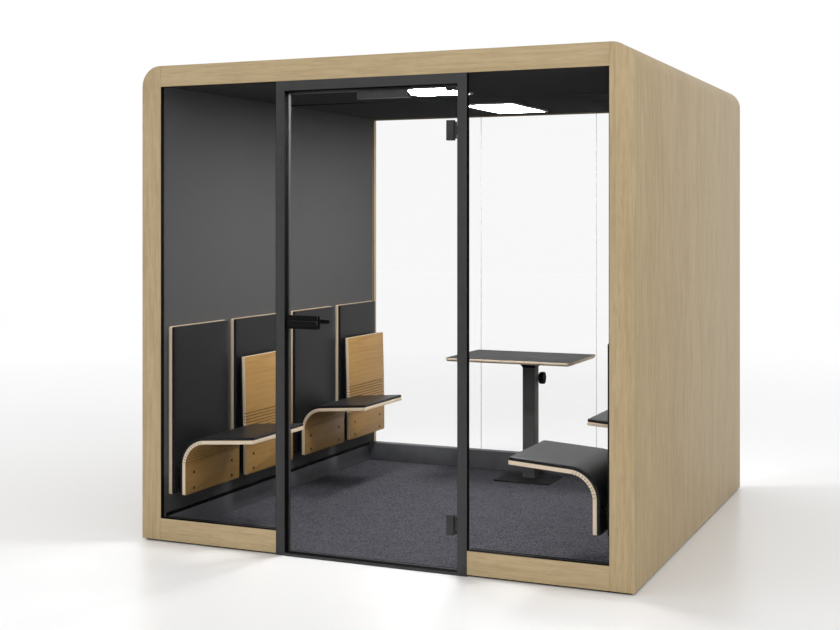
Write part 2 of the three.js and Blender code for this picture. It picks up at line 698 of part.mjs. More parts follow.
// A hollow rectangular tube with rounded corners, standing on a height.
function hollowTube(width, depth, corner, wall, z0, z1) {
  const x = width / 2;
  const y = depth / 2;
  const skin = prism(rounded(-x, x, -y, y, corner), "z", z0, z1);
  const inner = rounded(wall - x, x - wall, wall - y, y - wall, Math.max(corner - wall, RUN));
  return skin.subtract(prism(inner, "z", z0 - RUN, z1 + RUN));
}

// Table: the post under the top slides in the column that stands on the foot plate,
// and the knob's stem passes into the lug behind the column.
function table() {
  const group = new THREE.Group();
  group.position.set(TABLE_X, tableY, 0);
  pod.add(group);

  const x = TABLE_WIDTH / 2;
  const y = TABLE_DEPTH / 2;
  const low = TABLE_HEIGHT - TABLE_THICKNESS;
  const edge = low + TABLE_CHAMFER;
  const cut = TABLE_CHAMFER;
  const plan = prism(rounded(-x, x, -y, y, TABLE_CORNER), "z", low, TABLE_HEIGHT);
  const across = outline([
    [cut - x, low], [x - cut, low], [x, edge], [x, TABLE_HEIGHT], [-x, TABLE_HEIGHT], [-x, edge],
  ]);
  const along = outline([
    [cut - y, low], [y - cut, low], [y, edge], [y, TABLE_HEIGHT], [-y, TABLE_HEIGHT], [-y, edge],
  ]);
  const top = plan.intersect(prism(across, "y", -y, y)).intersect(prism(along, "x", -x, x));
  piece("table_top", top, LAMINATE, group);

  const stand = new THREE.Group();
  stand.position.set(COLUMN_OFFSET_X, COLUMN_OFFSET_Y, 0);
  group.add(stand);

  const headTop = low - FIT;
  const headLow = headTop - HEAD_HEIGHT;
  const columnTop = headLow - FIT;
  const footTop = carpetZ + FOOT_THICKNESS;
  const hx = HEAD_WIDTH / 2;
  const hy = HEAD_DEPTH / 2;
  const cx = COLUMN_WIDTH / 2;
  const cy = COLUMN_DEPTH / 2;
  const headAcross = outline([[-cx, headLow], [cx, headLow], [hx, headTop], [-hx, headTop]]);
  const headAlong = outline([[-cy, headLow], [cy, headLow], [hy, headTop], [-hy, headTop]]);
  const head = prism(headAcross, "y", -hy, hy).intersect(prism(headAlong, "x", -hx, hx));
  const postLow = footTop + POST_CLEARANCE;
  const post = hollowTube(POST_WIDTH, POST_DEPTH, POST_CORNER, POST_WALL, postLow, headLow + RUN);
  piece("table_post", post.add(head), CHARCOAL, stand);

  const footX = FOOT_WIDTH / 2;
  const footFront = -FOOT_REACH - FOOT_DEPTH / 2;
  const footPlan = rounded(-footX, footX, footFront, footFront + FOOT_DEPTH, FOOT_CORNER);
  const foot = prism(footPlan, "z", carpetZ, footTop);
  const tube = hollowTube(COLUMN_WIDTH, COLUMN_DEPTH, COLUMN_CORNER, COLUMN_WALL, footTop - RUN, columnTop);
  const bushLow = columnTop - BUSH_HEIGHT;
  const bush = prism(rounded(-cx, cx, -cy, cy, COLUMN_CORNER), "z", bushLow, columnTop);
  const px = POST_WIDTH / 2 + FIT;
  const py = POST_DEPTH / 2 + FIT;
  const passage = prism(rounded(-px, px, -py, py, POST_CORNER), "z", bushLow - RUN, columnTop + RUN);
  const knobY = cy + KNOB_GAP + KNOB_RADIUS;
  const knobZ = TABLE_HEIGHT - KNOB_DROP;
  const lugX = cx - LUG_INSET;
  const lug = block(
    lugX - LUG_WIDTH, lugX, cy - RUN, knobY + LUG_MARGIN, knobZ - LUG_HEIGHT / 2, knobZ + LUG_HEIGHT / 2,
  );
  const bore = bar("x", STEM_RADIUS + FIT, knobY, knobZ, lugX - STEM_LENGTH - FIT, lugX + RUN);
  const column = foot.add(tube).add(bush.subtract(passage)).add(lug).subtract(bore);
  piece("table_column", column, CHARCOAL, stand);

  const hubX = lugX + FIT;
  const wheelX = hubX + KNOB_HUB_LENGTH;
  const rim = new THREE.Shape();
  const steps = KNOB_LOBES * 8;
  for (let i = 0; i < steps; i++) {
    const turn = (i / steps) * Math.PI * 2;
    const radius = KNOB_RADIUS - KNOB_LOBE_DEPTH * (0.5 - 0.5 * Math.cos(turn * KNOB_LOBES));
    const place = [knobY + radius * Math.cos(turn), knobZ + radius * Math.sin(turn)];
    if (i === 0) rim.moveTo(...place);
    else rim.lineTo(...place);
  }
  const wheel = prism(rim, "x", wheelX, wheelX + KNOB_WIDTH);
  const hub = bar("x", KNOB_HUB_RADIUS, knobY, knobZ, hubX, wheelX + RUN);
  const stem = bar("x", STEM_RADIUS, knobY, knobZ, lugX - STEM_LENGTH, hubX + RUN);
  piece("table_knob", wheel.add(hub).add(stem), BLACK, stand);
}

sideWall("left", -1);
sideWall("right", 1);
roof();
floor();
bottomRails();
panes();
lights();
doorFrame();
doorLeaf();
doorHinge("hinge_top", hingeTopZ);
doorHinge("hinge_bottom", hingeBottomZ);
lock();
closer();
seats();
table();

export default pod;
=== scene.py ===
"""Dresses an acoustic office pod: oak shell, felt lining, glazing, glass door,
fold-down plywood seats and a table on a telescopic column."""

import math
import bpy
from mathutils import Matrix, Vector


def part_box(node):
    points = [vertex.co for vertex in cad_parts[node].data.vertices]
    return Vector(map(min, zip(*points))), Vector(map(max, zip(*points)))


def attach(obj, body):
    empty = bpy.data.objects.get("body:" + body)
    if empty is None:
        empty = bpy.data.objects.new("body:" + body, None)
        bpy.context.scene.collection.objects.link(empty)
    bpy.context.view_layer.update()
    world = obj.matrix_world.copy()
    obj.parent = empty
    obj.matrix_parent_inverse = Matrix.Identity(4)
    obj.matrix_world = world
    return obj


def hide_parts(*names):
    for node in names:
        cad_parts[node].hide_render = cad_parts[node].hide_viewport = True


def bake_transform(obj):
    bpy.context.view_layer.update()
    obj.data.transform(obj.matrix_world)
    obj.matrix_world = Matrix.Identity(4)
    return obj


bl_info = {
    "name": "Acoustic Office Pod",
    "version": (1, 0, 0),
    "blender": (4, 5, 0),
    "location": "3D View > Sidebar > Pod",
    "description": "Models and finishes the pieces of an acoustic office pod",
    "category": "Object",
}

import bpy
from mathutils import Matrix, Vector

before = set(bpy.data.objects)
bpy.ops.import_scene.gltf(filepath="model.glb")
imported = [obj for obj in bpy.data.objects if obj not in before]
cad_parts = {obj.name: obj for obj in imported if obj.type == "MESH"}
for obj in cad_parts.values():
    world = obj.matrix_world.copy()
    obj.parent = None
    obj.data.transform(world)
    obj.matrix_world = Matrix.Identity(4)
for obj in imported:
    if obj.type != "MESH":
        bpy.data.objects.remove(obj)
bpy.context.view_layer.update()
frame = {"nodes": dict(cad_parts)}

# Room between two pieces, less room, and a distance that counts as none, in metres
GAP = 0.0003
HAIR = 0.0002
SAME = 1e-4
# A fold that turns by less than this, in radians, counts as straight
STRAIGHT = 0.1
# Where plywood stores its points' places, and the order of its finishes
PLY_PLACE = "ply_place"
PLY_FACE, PLY_EDGE, PLY_KERF_SHADE = 0, 1, 2
WHITE = (1.0, 1.0, 1.0)


def length(name, description, default):
    """A length in metres that the sidebar shows."""
    return bpy.props.FloatProperty(
        name=name, description=description, default=default, unit="LENGTH", precision=4
    )


def colour(name, description, default):
    """A finish's colour that the sidebar shows."""
    return bpy.props.FloatVectorProperty(
        name=name, description=description, default=default, size=3, subtype="COLOR", min=0, max=1
    )


class PodShellSettings(bpy.types.PropertyGroup):
    roof_radius: length("Roof radius", "Radius of the two long roof edges", 0.098)
    edge: length("Edge", "Rounding of the oak's sharp edges", 0.0015)
    lining_pocket: length("Lining pocket", "Depth of the hollow behind the stiles", 0.014)
    stile_depth: length("Stile depth", "Depth of the stiles behind the front", 0.045)
    channel: length("Channel", "Face width of the black glazing gasket", 0.002)
    glass_line: length("Glass line", "Distance of the covers' glass side from the middle", 1.155)
    skirting: length("Skirting", "Thickness of the dark cover on the front rails", 0.002)
    rear_skirting: length("Rear skirting", "Thickness of the dark skirting at the rear", 0.018)
    skirting_height: length("Skirting height", "Height of the dark skirting at the rear", 0.124)
    side_skirting: length("Side skirting", "Height of the skirting boards along the walls", 0.110)


class PodSeatSettings(bpy.types.PropertyGroup):
    ply: length("Plywood", "Thickness of the plywood", 0.018)
    pad: length("Pad", "Thickness of the pad", 0.016)
    pad_edge: length("Pad edge", "Rounding of the pads' edges", 0.003)
    bonded: length("Bonded", "Depth of the pads that the cloth holds to the plywood", 0.004)
    crown: length("Crown", "Most that the cloth swells the pads", 0.0022)
    tab: length("Tab", "Height of the tab under the fold", 0.1425)
    fold: length("Fold", "Length of the kerf-cut fold", 0.1906)
    board: length("Board", "Length of the seat board", 0.277)
    corner: length("Corner", "Radius of the boards' corners", 0.009)
    kerf: length("Kerf", "Width of a saw kerf when the fold is straight", 0.0032)
    skin: length("Skin", "Plywood left uncut behind the kerfs", 0.004)
    kerfs: bpy.props.IntProperty(name="Ribs", description="Ribs across the fold", default=12, min=3)
    down: bpy.props.FloatProperty(
        name="Down", description="Turn of the fold when the seat is down",
        default=math.radians(86), subtype="ANGLE",
    )
    up: bpy.props.FloatProperty(
        name="Up", description="Turn of the fold when the seat is up",
        default=math.radians(-1.5), subtype="ANGLE",
    )


class PodColourSettings(bpy.types.PropertyGroup):
    oak: colour("Oak", "Light wood of the oak shell", (0.468, 0.356, 0.2))
    oak_dark: colour("Oak grain", "Dark wood of the oak shell", (0.389, 0.29, 0.152))
    felt: colour("Felt", "Felt of the walls and the ceiling", (0.0755, 0.075, 0.0755))
    carpet: colour("Carpet", "Dark yarn of the carpet", (0.029, 0.029, 0.0348))
    carpet_light: colour("Carpet fleck", "Light yarn of the carpet", (0.099, 0.099, 0.1155))
    frame: colour("Frame", "Powder coat of the door frame", (0.03, 0.03, 0.031))
    ply: colour("Plywood", "Face of the plywood", (0.335, 0.192, 0.058))
    ply_dark: colour("Plywood grain", "Grain of the plywood's face", (0.283, 0.156, 0.0435))
    ply_edge: colour("Plywood edge", "Sawn edge of the plywood", (0.72, 0.61, 0.475))
    pad: colour("Pad", "Felt of the seat and back pads", (0.012, 0.012, 0.0128))
    laminate: colour("Laminate", "Top of the table", (0.029, 0.029, 0.03))


# Selecting and editing


def deselect():
    bpy.ops.object.select_all(action="DESELECT")


def activate(piece):
    deselect()
    piece.select_set(True)
    bpy.context.view_layer.objects.active = piece


def settle(piece):
    """Puts the piece's place, turn and scale into its mesh."""
    activate(piece)
    bpy.ops.object.transform_apply(location=True, rotation=True, scale=True)


def pick(piece, mode, test=lambda *_: True):
    """Opens the piece in edit mode with the edges or faces that pass the test selected."""
    activate(piece)
    mesh = piece.data
    for part in (mesh.vertices, mesh.edges, mesh.polygons):
        part.foreach_set("select", [False] * len(part))
    if mode == "EDGE":
        for edge in mesh.edges:
            a, b = (mesh.vertices[i].co for i in edge.vertices)
            edge.select = test(a, b)
    else:
        for face in mesh.polygons:
            face.select = test(face.center, face.normal)
    bpy.context.tool_settings.mesh_select_mode = (False, mode == "EDGE", mode == "FACE")
    bpy.ops.object.mode_set(mode="EDIT")


def pick_all():
    bpy.ops.mesh.select_all(action="SELECT")


def close():
    bpy.ops.object.mode_set(mode="OBJECT")


def extrude(way):
    bpy.ops.mesh.extrude_region_move(TRANSFORM_OT_translate={"value": way})


def modify(piece, kind, **settings):
    """Adds a modifier and applies it."""
    activate(piece)
    modifier = piece.modifiers.new(kind.lower(), kind)
    for name, value in settings.items():
        setattr(modifier, name, value)
    bpy.ops.object.modifier_apply(modifier=modifier.name)


def smooth(piece, angle=35):
    activate(piece)
    bpy.ops.object.shade_smooth_by_angle(angle=math.radians(angle))


def soften(piece, width, segments=2, angle=35):
    """Rounds every edge that is sharper than the angle."""
    modify(
        piece, "BEVEL", width=width, segments=segments, limit_method="ANGLE",
        angle_limit=math.radians(angle), use_clamp_overlap=True,
    )
    smooth(piece)


def round_edges(piece, radius, segments, test):
    """Rounds the edges whose two ends pass the test."""
    pick(piece, "EDGE", test)
    bpy.ops.mesh.bevel(offset=radius, offset_type="OFFSET", segments=segments, affect="EDGES")
    close()


def along(axis):
    """A test for edges that run along an axis."""
    return lambda a, b: abs((b - a).normalized()[axis]) > 0.99


# Starting shapes


def begin(name, add, scale=(1, 1, 1), **shape):
    """A new primitive, with its place, turn and scale put into its mesh."""
    deselect()
    add(**shape)
    piece = bpy.context.object
    piece.name = name
    piece.scale = scale
    settle(piece)
    return piece


def block(name, low, high, edge=0.0, segments=2):
    """A box between two corners, with its edges rounded."""
    low, high = Vector(low), Vector(high)
    piece = begin(
        name, bpy.ops.mesh.primitive_cube_add, high - low, size=1, location=(low + high) / 2
    )
    if edge:
        soften(piece, edge, segments)
    return piece


def disc(name, axis, centre, radius, depth, sides, edge=0.0):
    """A round bar about a centre, along an axis, with its rims rounded."""
    turn = {0: (0, math.pi / 2, 0), 1: (math.pi / 2, 0, 0), 2: (0, 0, 0)}[axis]
    piece = begin(
        name, bpy.ops.mesh.primitive_cylinder_add, vertices=sides, radius=radius, depth=depth,
        location=centre, rotation=turn,
    )
    if edge:
        soften(piece, edge, 3)
    else:
        smooth(piece)
    return piece


def ring(name, low, high, width, axis, edge):
    """A rectangular frame between two corners, seen along an axis."""
    low, high = Vector(low), Vector(high)
    span = high - low
    turn = (math.pi / 2, 0, 0) if axis == 1 else (0, 0, 0)
    middle = (low + high) / 2
    middle[axis] = low[axis]
    scale = (span.x, span.z if axis == 1 else span.y, 1)
    piece = begin(
        name, bpy.ops.mesh.primitive_plane_add, scale, size=1, location=middle, rotation=turn
    )
    pick(piece, "FACE")
    bpy.ops.mesh.inset(thickness=width, use_even_offset=True)
    bpy.ops.mesh.delete(type="FACE")
    pick_all()
    extrude((0, span.y, 0) if axis == 1 else (0, 0, span.z))
    pick_all()
    bpy.ops.mesh.normals_make_consistent(inside=False)
    close()
    if edge:
        soften(piece, edge)
    return piece


def tube(name, low, high, corner, wall):
    """An upright box tube with rounded corners and open ends."""
    piece = block(name, low, high)
    round_edges(piece, corner, 8, along(2))
    pick(piece, "FACE", lambda c, n: abs(n.z) > 0.9)
    bpy.ops.mesh.delete(type="FACE")
    close()
    modify(piece, "SOLIDIFY", thickness=wall, offset=-1)
    soften(piece, 0.0005)
    return piece


def cut(piece, *tools, operation="DIFFERENCE"):
    """Cuts the tools out of the piece, or adds them to it, and removes them."""
    for tool in tools:
        modify(piece, "BOOLEAN", operation=operation, solver="EXACT", object=tool)
        bpy.data.objects.remove(tool)


def join(name, pieces):
    activate(pieces[0])
    for piece in pieces[1:]:
        piece.select_set(True)
    bpy.ops.object.join()
    piece = bpy.context.object
    piece.name = name
    return piece


def copy(piece, name, place):
    """A copy with its own mesh, moved and turned by a matrix."""
    twin = piece.copy()
    twin.data = piece.data.copy()
    twin.name = name
    bpy.context.scene.collection.objects.link(twin)
    twin.data.transform(place)
    return twin


def slice_at(piece, spots, unit):
    """Cuts the piece's faces by planes through the spots, square to a direction."""
    pick(piece, "FACE")
    for spot in spots:
        pick_all()
        bpy.ops.mesh.bisect(plane_co=spot, plane_no=unit)
    close()


def slice_up(piece, start, way, step=0.02):
    """Cuts the piece's faces by planes that stand a step apart along a way."""
    unit = way.normalized()
    count = int(way.length / step)
    slice_at(piece, [start + i * step * unit for i in range(1, count)], unit)


def swell(piece, held, most, pressure=4.0, frames=20):
    """Blows the piece up as cloth round its held points, by no more than a height."""
    rest = [v.co.copy() for v in piece.data.vertices]
    group = piece.vertex_groups.new(name="held")
    group.add([i for i, co in enumerate(rest) if held(co)], 1.0, "REPLACE")
    cloth = piece.modifiers.new("cloth", "CLOTH")
    cloth.settings.quality = 6
    cloth.settings.vertex_group_mass = group.name
    cloth.settings.use_pressure = True
    cloth.settings.uniform_pressure_force = pressure
    cloth.settings.effector_weights.gravity = 0.0
    cloth.point_cache.frame_end = frames
    scene = bpy.context.scene
    for number in range(1, frames + 1):
        scene.frame_set(number)
    blown = piece.evaluated_get(bpy.context.evaluated_depsgraph_get()).data
    moves = [after.co - before for after, before in zip(blown.vertices, rest)]
    share = most / max(max(move.length for move in moves), most)
    piece.modifiers.remove(cloth)
    piece.vertex_groups.clear()
    scene.frame_set(1)
    swollen = [n for co, move in zip(rest, moves) for n in co + share * move]
    piece.data.vertices.foreach_set("co", swollen)
    piece.data.update()
    smooth(piece, 60)


def paint(piece, looks):
    """Gives the piece its finishes, by their names."""
    for look in looks.split():
        piece.data.materials.append(finishes()[look])


def dress(piece, body, slot, looks, *nodes):
    """Gives the piece its finishes and its body, and hides the nodes it stands for."""
    paint(piece, looks)
    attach(piece, body)
    if nodes:
        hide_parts(*nodes)


def coat(look, *nodes):
    """Gives CAD nodes that stay in view a finish."""
    for name in nodes:
        node = frame["nodes"][name]
        node.data.materials.clear()
        paint(node, look)


def mark_ply(mesh, place, kind):
    """Stores each point's place in the plywood, and gives each face the finish of its kind."""
    spots = [n for v in mesh.vertices for n in place(v.co)]
    mesh.attributes.new(PLY_PLACE, "FLOAT_VECTOR", "POINT").data.foreach_set("vector", spots)
    for face in mesh.polygons:
        face.material_index = kind(face)


def carpet_top():
    """The height at which pieces stand on the carpet."""
    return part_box("carpet")[1].z + 0.0005


def screw(name, centre, radius, proud=0.0015):
    """A flat screw head that faces along x, with a round socket."""
    piece = disc(name, 0, centre, radius, 2 * proud, 32)
    pick(piece, "FACE", lambda c, n: n.x > 0.9)
    bpy.ops.mesh.inset(thickness=radius * 0.5)
    extrude((-proud, 0, 0))
    close()
    soften(piece, radius * 0.12)
    return piece


# Finishes


def times(tone, factor):
    """A colour made lighter or darker."""
    return tuple(min(1.0, value * factor) for value in tone)


def halfway(first, second):
    """The colour between two colours."""
    return tuple((a + b) / 2 for a, b in zip(first, second))


class Finish:
    """A material under construction, with its shader and short ways to add nodes."""

    def __init__(self, name, colour, roughness=0.5, metallic=0.0, gloss=0.5):
        self.material = bpy.data.materials.new(name)
        self.material.use_nodes = True
        self.material.diffuse_color = (*colour, 1)
        self.nodes = self.material.node_tree.nodes
        self.links = self.material.node_tree.links
        self.shader = self.nodes["Principled BSDF"]
        self.set(self.shader, **{
            "Base Color": (*colour, 1), "Roughness": roughness,
            "Metallic": metallic, "Specular IOR Level": gloss,
        })

    def set(self, node, **values):
        for name, value in values.items():
            node.inputs[name].default_value = value

    def add(self, kind, **values):
        node = self.nodes.new("ShaderNode" + kind)
        self.set(node, **values)
        return node

    def link(self, source, target):
        self.links.new(source, target)

    def place(self, scale=(1, 1, 1), source=None):
        """Object coordinates, or a given vector, stretched by a scale."""
        if source is None:
            source = self.add("TexCoord").outputs["Object"]
        mapping = self.add("Mapping", Scale=scale)
        self.link(source, mapping.inputs["Vector"])
        return mapping.outputs["Vector"]

    def ply_place(self):
        """The places in the plywood that its pieces store."""
        spot = self.add("Attribute")
        spot.attribute_name = PLY_PLACE
        return spot.outputs["Vector"]

    def noise(self, vector, scale, detail=4.0, roughness=0.55, distortion=0.0):
        node = self.add(
            "TexNoise", Scale=scale, Detail=detail, Roughness=roughness, Distortion=distortion
        )
        self.link(vector, node.inputs["Vector"])
        return node.outputs["Fac"]

    def ramp(self, factor, *stops):
        node = self.add("ValToRGB")
        ramp = node.color_ramp
        while len(ramp.elements) < len(stops):
            ramp.elements.new(0.5)
        for element, (place, value) in zip(ramp.elements, stops):
            element.position = place
            element.color = (*value, 1)
        self.link(factor, node.inputs["Fac"])
        return node.outputs["Color"]

    def tint(self, factor, first, last, start=0.3, stop=0.7):
        """A colour that changes as the factor goes from start to stop."""
        return self.ramp(factor, (start, first), (stop, last))

    def span(self, factor, low, high, from_low=0.0, from_high=1.0):
        node = self.add("MapRange", **{
            "From Min": from_low, "From Max": from_high, "To Min": low, "To Max": high,
        })
        self.link(factor, node.inputs["Value"])
        return node.outputs["Result"]

    def mix(self, first, second, factor, blend="MIX"):
        node = self.add("Mix")
        node.data_type = "RGBA"
        node.blend_type = blend
        # The node has sockets for each type of data; these are the factor and the colours
        for value, socket in ((factor, 0), (first, 6), (second, 7)):
            if isinstance(value, bpy.types.NodeSocket):
                self.link(value, node.inputs[socket])
            else:
                constant = value if isinstance(value, float) else (*value, 1)
                node.inputs[socket].default_value = constant
        return node.outputs[2]

    def multiply(self, first, second, factor=1.0):
        return self.mix(first, second, factor, "MULTIPLY")

    def bump(self, height, strength, distance):
        node = self.add("Bump", Strength=strength, Distance=distance)
        self.link(height, node.inputs["Height"])
        self.to(node.outputs["Normal"], "Normal")

    def to(self, output, name):
        self.link(output, self.shader.inputs[name])


def oak_finish(name, grain, light, dark):
    """Brushed oak veneer: broad bands, fine streaks and open pores along the grain."""
    f = Finish(name, light, 0.55)

    def grown(across, lengthwise, *look):
        """Noise that is stretched along the grain."""
        scale = [across] * 3
        scale[grain] = lengthwise
        return f.noise(f.place(scale), 1.0, *look)

    bands = grown(7.0, 0.8, 5.0, 0.6, 0.9)
    streaks = grown(90.0, 5.0, 4.0, 0.6, 0.2)
    pores = grown(420.0, 14.0, 2.0, 0.5)
    base = f.ramp(bands, (0.22, dark), (0.5, halfway(light, dark)), (0.78, light))
    lines = f.tint(streaks, (0.80, 0.77, 0.73), WHITE, 0.35, 0.6)
    dots = f.tint(pores, (0.72, 0.68, 0.62), WHITE, 0.33, 0.45)
    f.to(f.multiply(f.multiply(base, lines, 0.75), dots, 0.6), "Base Color")
    f.to(f.span(streaks, 0.62, 0.46), "Roughness")
    f.bump(f.mix(streaks, dots, 0.4), 0.25, 0.0006)
    return f.material


def felt_finish(
    name, tone, roughness=0.95, gloss=0.08, fibre=(620.0, 1.4), mottle=(28.0, 4.0, 0.9),
    spread=(0.82, 1.18), relief=(0.2, 0.0006),
):
    """Pressed felt: short matted fibres with a faint mottle."""
    f = Finish(name, tone, roughness, gloss=gloss)
    where = f.place()
    scale, twist = fibre
    fibres = f.noise(where, scale, 3.0, 0.7, twist)
    scale, detail, grey = mottle
    shade = f.tint(f.noise(where, scale, detail), times(WHITE, grey), WHITE)
    wool = f.tint(fibres, *(times(tone, share) for share in spread))
    f.to(f.multiply(wool, shade), "Base Color")
    f.bump(fibres, *relief)
    return f.material


def carpet_finish(name, dark, light):
    """Heathered loop-pile carpet with two yarns."""
    f = Finish(name, dark, 0.98, gloss=0.1)
    where = f.place()
    loops = f.add("TexVoronoi", Scale=150.0)
    f.link(where, loops.inputs["Vector"])
    flecks = f.noise(where, 120.0, 3.0, 0.75)
    patches = f.noise(where, 9.0, 3.0)
    yarn = f.ramp(flecks, (0.40, dark), (0.5, halfway(dark, light)), (0.60, light))
    f.to(f.multiply(yarn, f.tint(patches, (0.86, 0.86, 0.88), WHITE)), "Base Color")
    f.bump(loops.outputs["Distance"], 0.7, 0.003)
    return f.material


def powder_finish(name, tone, roughness=0.45, texture=1500.0, metallic=0.0, gloss=0.3):
    """Powder-coated metal with a fine orange-peel texture."""
    f = Finish(name, tone, roughness, metallic, gloss)
    where = f.place()
    peel = f.noise(where, texture, 2.0)
    wear = f.noise(where, 14.0, 3.0)
    f.to(f.tint(wear, times(tone, 0.88), times(tone, 1.12)), "Base Color")
    f.to(f.span(wear, roughness - 0.05, roughness + 0.08), "Roughness")
    f.bump(peel, 0.12, 0.0003)
    return f.material


def rubber_finish(name, tone):
    """Extruded rubber and matt black plastic."""
    f = Finish(name, tone, 0.7, gloss=0.06)
    grain = f.noise(f.place((40, 40, 40)), 6.0, 3.0)
    f.to(f.tint(grain, times(tone, 0.8), tone), "Base Color")
    f.to(f.span(grain, 0.6, 0.8), "Roughness")
    return f.material


def glass_finish(name, tone, alpha):
    """Clear glazing with a faint tint and a very faint haze."""
    f = Finish(name, tone, 0.03, gloss=0.1)
    f.set(f.shader, Alpha=alpha, IOR=1.5)
    haze = f.noise(f.place(), 3.0, 3.0)
    f.to(f.span(haze, 0.015, 0.05), "Roughness")
    f.material.surface_render_method = "BLENDED"
    f.material.diffuse_color = (*tone, alpha)
    return f.material


def laminate_finish(name, tone):
    """Matt laminate with a fine speckle."""
    f = Finish(name, tone, 0.62, gloss=0.1)
    where = f.place()
    speckle = f.noise(where, 900.0, 2.0, 0.6)
    cloud = f.noise(where, 7.0, 3.0)
    f.to(f.tint(speckle, times(tone, 0.9), times(tone, 1.1), 0.35, 0.65), "Base Color")
    f.to(f.span(cloud, 0.56, 0.68), "Roughness")
    f.bump(speckle, 0.06, 0.0002)
    return f.material


def ply_face_finish(name, light, dark):
    """Oiled plywood face, with its grain across the seat."""
    f = Finish(name, light, 0.5, gloss=0.25)
    where = f.ply_place()
    flow = f.noise(f.place((3.0, 1.2, 9.0), where), 1.0, 4.0, 0.5, 1.6)
    rays = f.add("TexWave", **{
        "Scale": 11.0, "Distortion": 7.0, "Detail": 3.0, "Detail Scale": 1.4,
    })
    rays.bands_direction = "Z"
    f.link(f.place((1.0, 0.28, 1.0), where), rays.inputs["Vector"])
    streaks = f.noise(f.place((80.0, 4.0, 240.0), where), 1.0, 3.0, 0.6)
    base = f.ramp(flow, (0.3, dark), (0.55, light), (0.8, times(light, 1.12)))
    lines = f.tint(rays.outputs["Fac"], (0.80, 0.74, 0.66), WHITE, 0.0, 0.35)
    fine = f.tint(streaks, (0.86, 0.82, 0.76), WHITE, 0.3, 0.6)
    f.to(f.multiply(f.multiply(base, lines, 0.3), fine, 0.5), "Base Color")
    f.to(f.span(streaks, 0.56, 0.44), "Roughness")
    f.bump(streaks, 0.15, 0.0004)
    return f.material


def ply_edge_finish(name, tone):
    """Sawn plywood edge with its thin glued layers."""
    f = Finish(name, tone, 0.6, gloss=0.3)
    where = f.ply_place()
    layers = f.add("TexWave", Scale=1.0, Distortion=0.3, Detail=1.0)
    layers.bands_direction = "X"
    f.link(f.place((112.0, 4.0, 4.0), where), layers.inputs["Vector"])
    fibre = f.noise(f.place((500.0, 60.0, 60.0), where), 1.0, 3.0)
    plies = f.tint(layers.outputs["Fac"], (0.80, 0.72, 0.62), WHITE, 0.1, 0.35)
    shade = f.tint(fibre, (0.88, 0.86, 0.83), WHITE)
    f.to(f.multiply(f.multiply(tone, plies, 0.45), shade), "Base Color")
    f.bump(layers.outputs["Fac"], 0.08, 0.0003)
    return f.material


def diffuser_finish(name, strength):
    """Opal light diffuser."""
    f = Finish(name, (0.95, 0.95, 0.93), 0.4)
    dots = f.noise(f.place(), 400.0, 2.0)
    f.to(f.tint(dots, (0.97, 0.96, 0.94), WHITE), "Emission Color")
    f.set(f.shader, **{"Emission Strength": strength})
    return f.material


FINISHES = {}


def finishes():
    """The pod's materials, made once."""
    if FINISHES:
        return FINISHES
    c = bpy.context.scene.pod_colours
    FINISHES.update(
        oak_upright=oak_finish("oak_upright", 2, c.oak, c.oak_dark),
        oak_level=oak_finish("oak_level", 0, c.oak, c.oak_dark),
        felt=felt_finish("wall_felt", c.felt),
        ceiling=felt_finish("ceiling_felt", times(c.felt, 0.65), gloss=0.0),
        carpet=carpet_finish("loop_carpet", c.carpet, c.carpet_light),
        frame=powder_finish("charcoal_powder_coat", c.frame),
        hardware=powder_finish("satin_hardware", (0.03, 0.03, 0.031), 0.36, 2200.0, 0.2),
        closer=powder_finish("closer_grey", (0.04, 0.04, 0.041), 0.4, 2200.0, 0.2),
        lock=powder_finish("black_lock", (0.006, 0.006, 0.0062), 0.45, 2200.0, 0.0, 0.05),
        skirting=powder_finish("dark_skirting", (0.098, 0.101, 0.111), 0.55),
        plinth=powder_finish("black_plinth", (0.006, 0.006, 0.0065), 0.6, gloss=0.1),
        rubber=rubber_finish("black_rubber", (0.0022, 0.0022, 0.0022)),
        glass=glass_finish("clear_glass", (0.03, 0.036, 0.035), 0.018),
        joint=glass_finish("clear_joint", (0.45, 0.48, 0.48), 0.3),
        ply=ply_face_finish("oiled_plywood", c.ply, c.ply_dark),
        ply_edge=ply_edge_finish("plywood_edge", c.ply_edge),
        # The kerfs' walls are sawn plywood, painted dark brown as painted shade inside the narrow
        # slots
        kerf=powder_finish("kerf_painted_shade", (0.075, 0.042, 0.018), 0.8, gloss=0.05),
        pad=felt_finish(
            "black_wool_felt", c.pad, 0.36, 0.1, (800.0, 1.0), (40.0, 3.0, 0.88),
            (0.7, 1.45), (0.3, 0.0008),
        ),
        laminate=laminate_finish("grey_laminate", c.laminate),
        column=powder_finish("column_powder_coat", (0.095, 0.0935, 0.0935), 0.5, gloss=0.12),
        rim=powder_finish("light_rim", (0.35, 0.35, 0.35), 0.45),
        diffuser=diffuser_finish("opal_diffuser", 65.0),
    )
    return FINISHES


# Shell


def oak_wall(name, node, side, s):
    low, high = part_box(node)
    piece = block(name, low, high)
    outer, inner = (low.x, high.x) if side < 0 else (high.x, low.x)

    def roof_edge(a, b):
        return all(abs(v.x - outer) < SAME and abs(v.z - high.z) < SAME for v in (a, b))

    round_edges(piece, s.roof_radius, 20, roof_edge)
    y = high.y - s.stile_depth
    near, far = sorted((inner - side * 0.002, inner + side * s.lining_pocket))
    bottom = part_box("left_lining")[0].z - GAP
    cut(piece, block("pocket", (near, -y, bottom), (far, y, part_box("roof")[0].z)))
    soften(piece, s.edge, 2, 30)
    dress(piece, "pod", "oak_wall", "oak_upright", node)


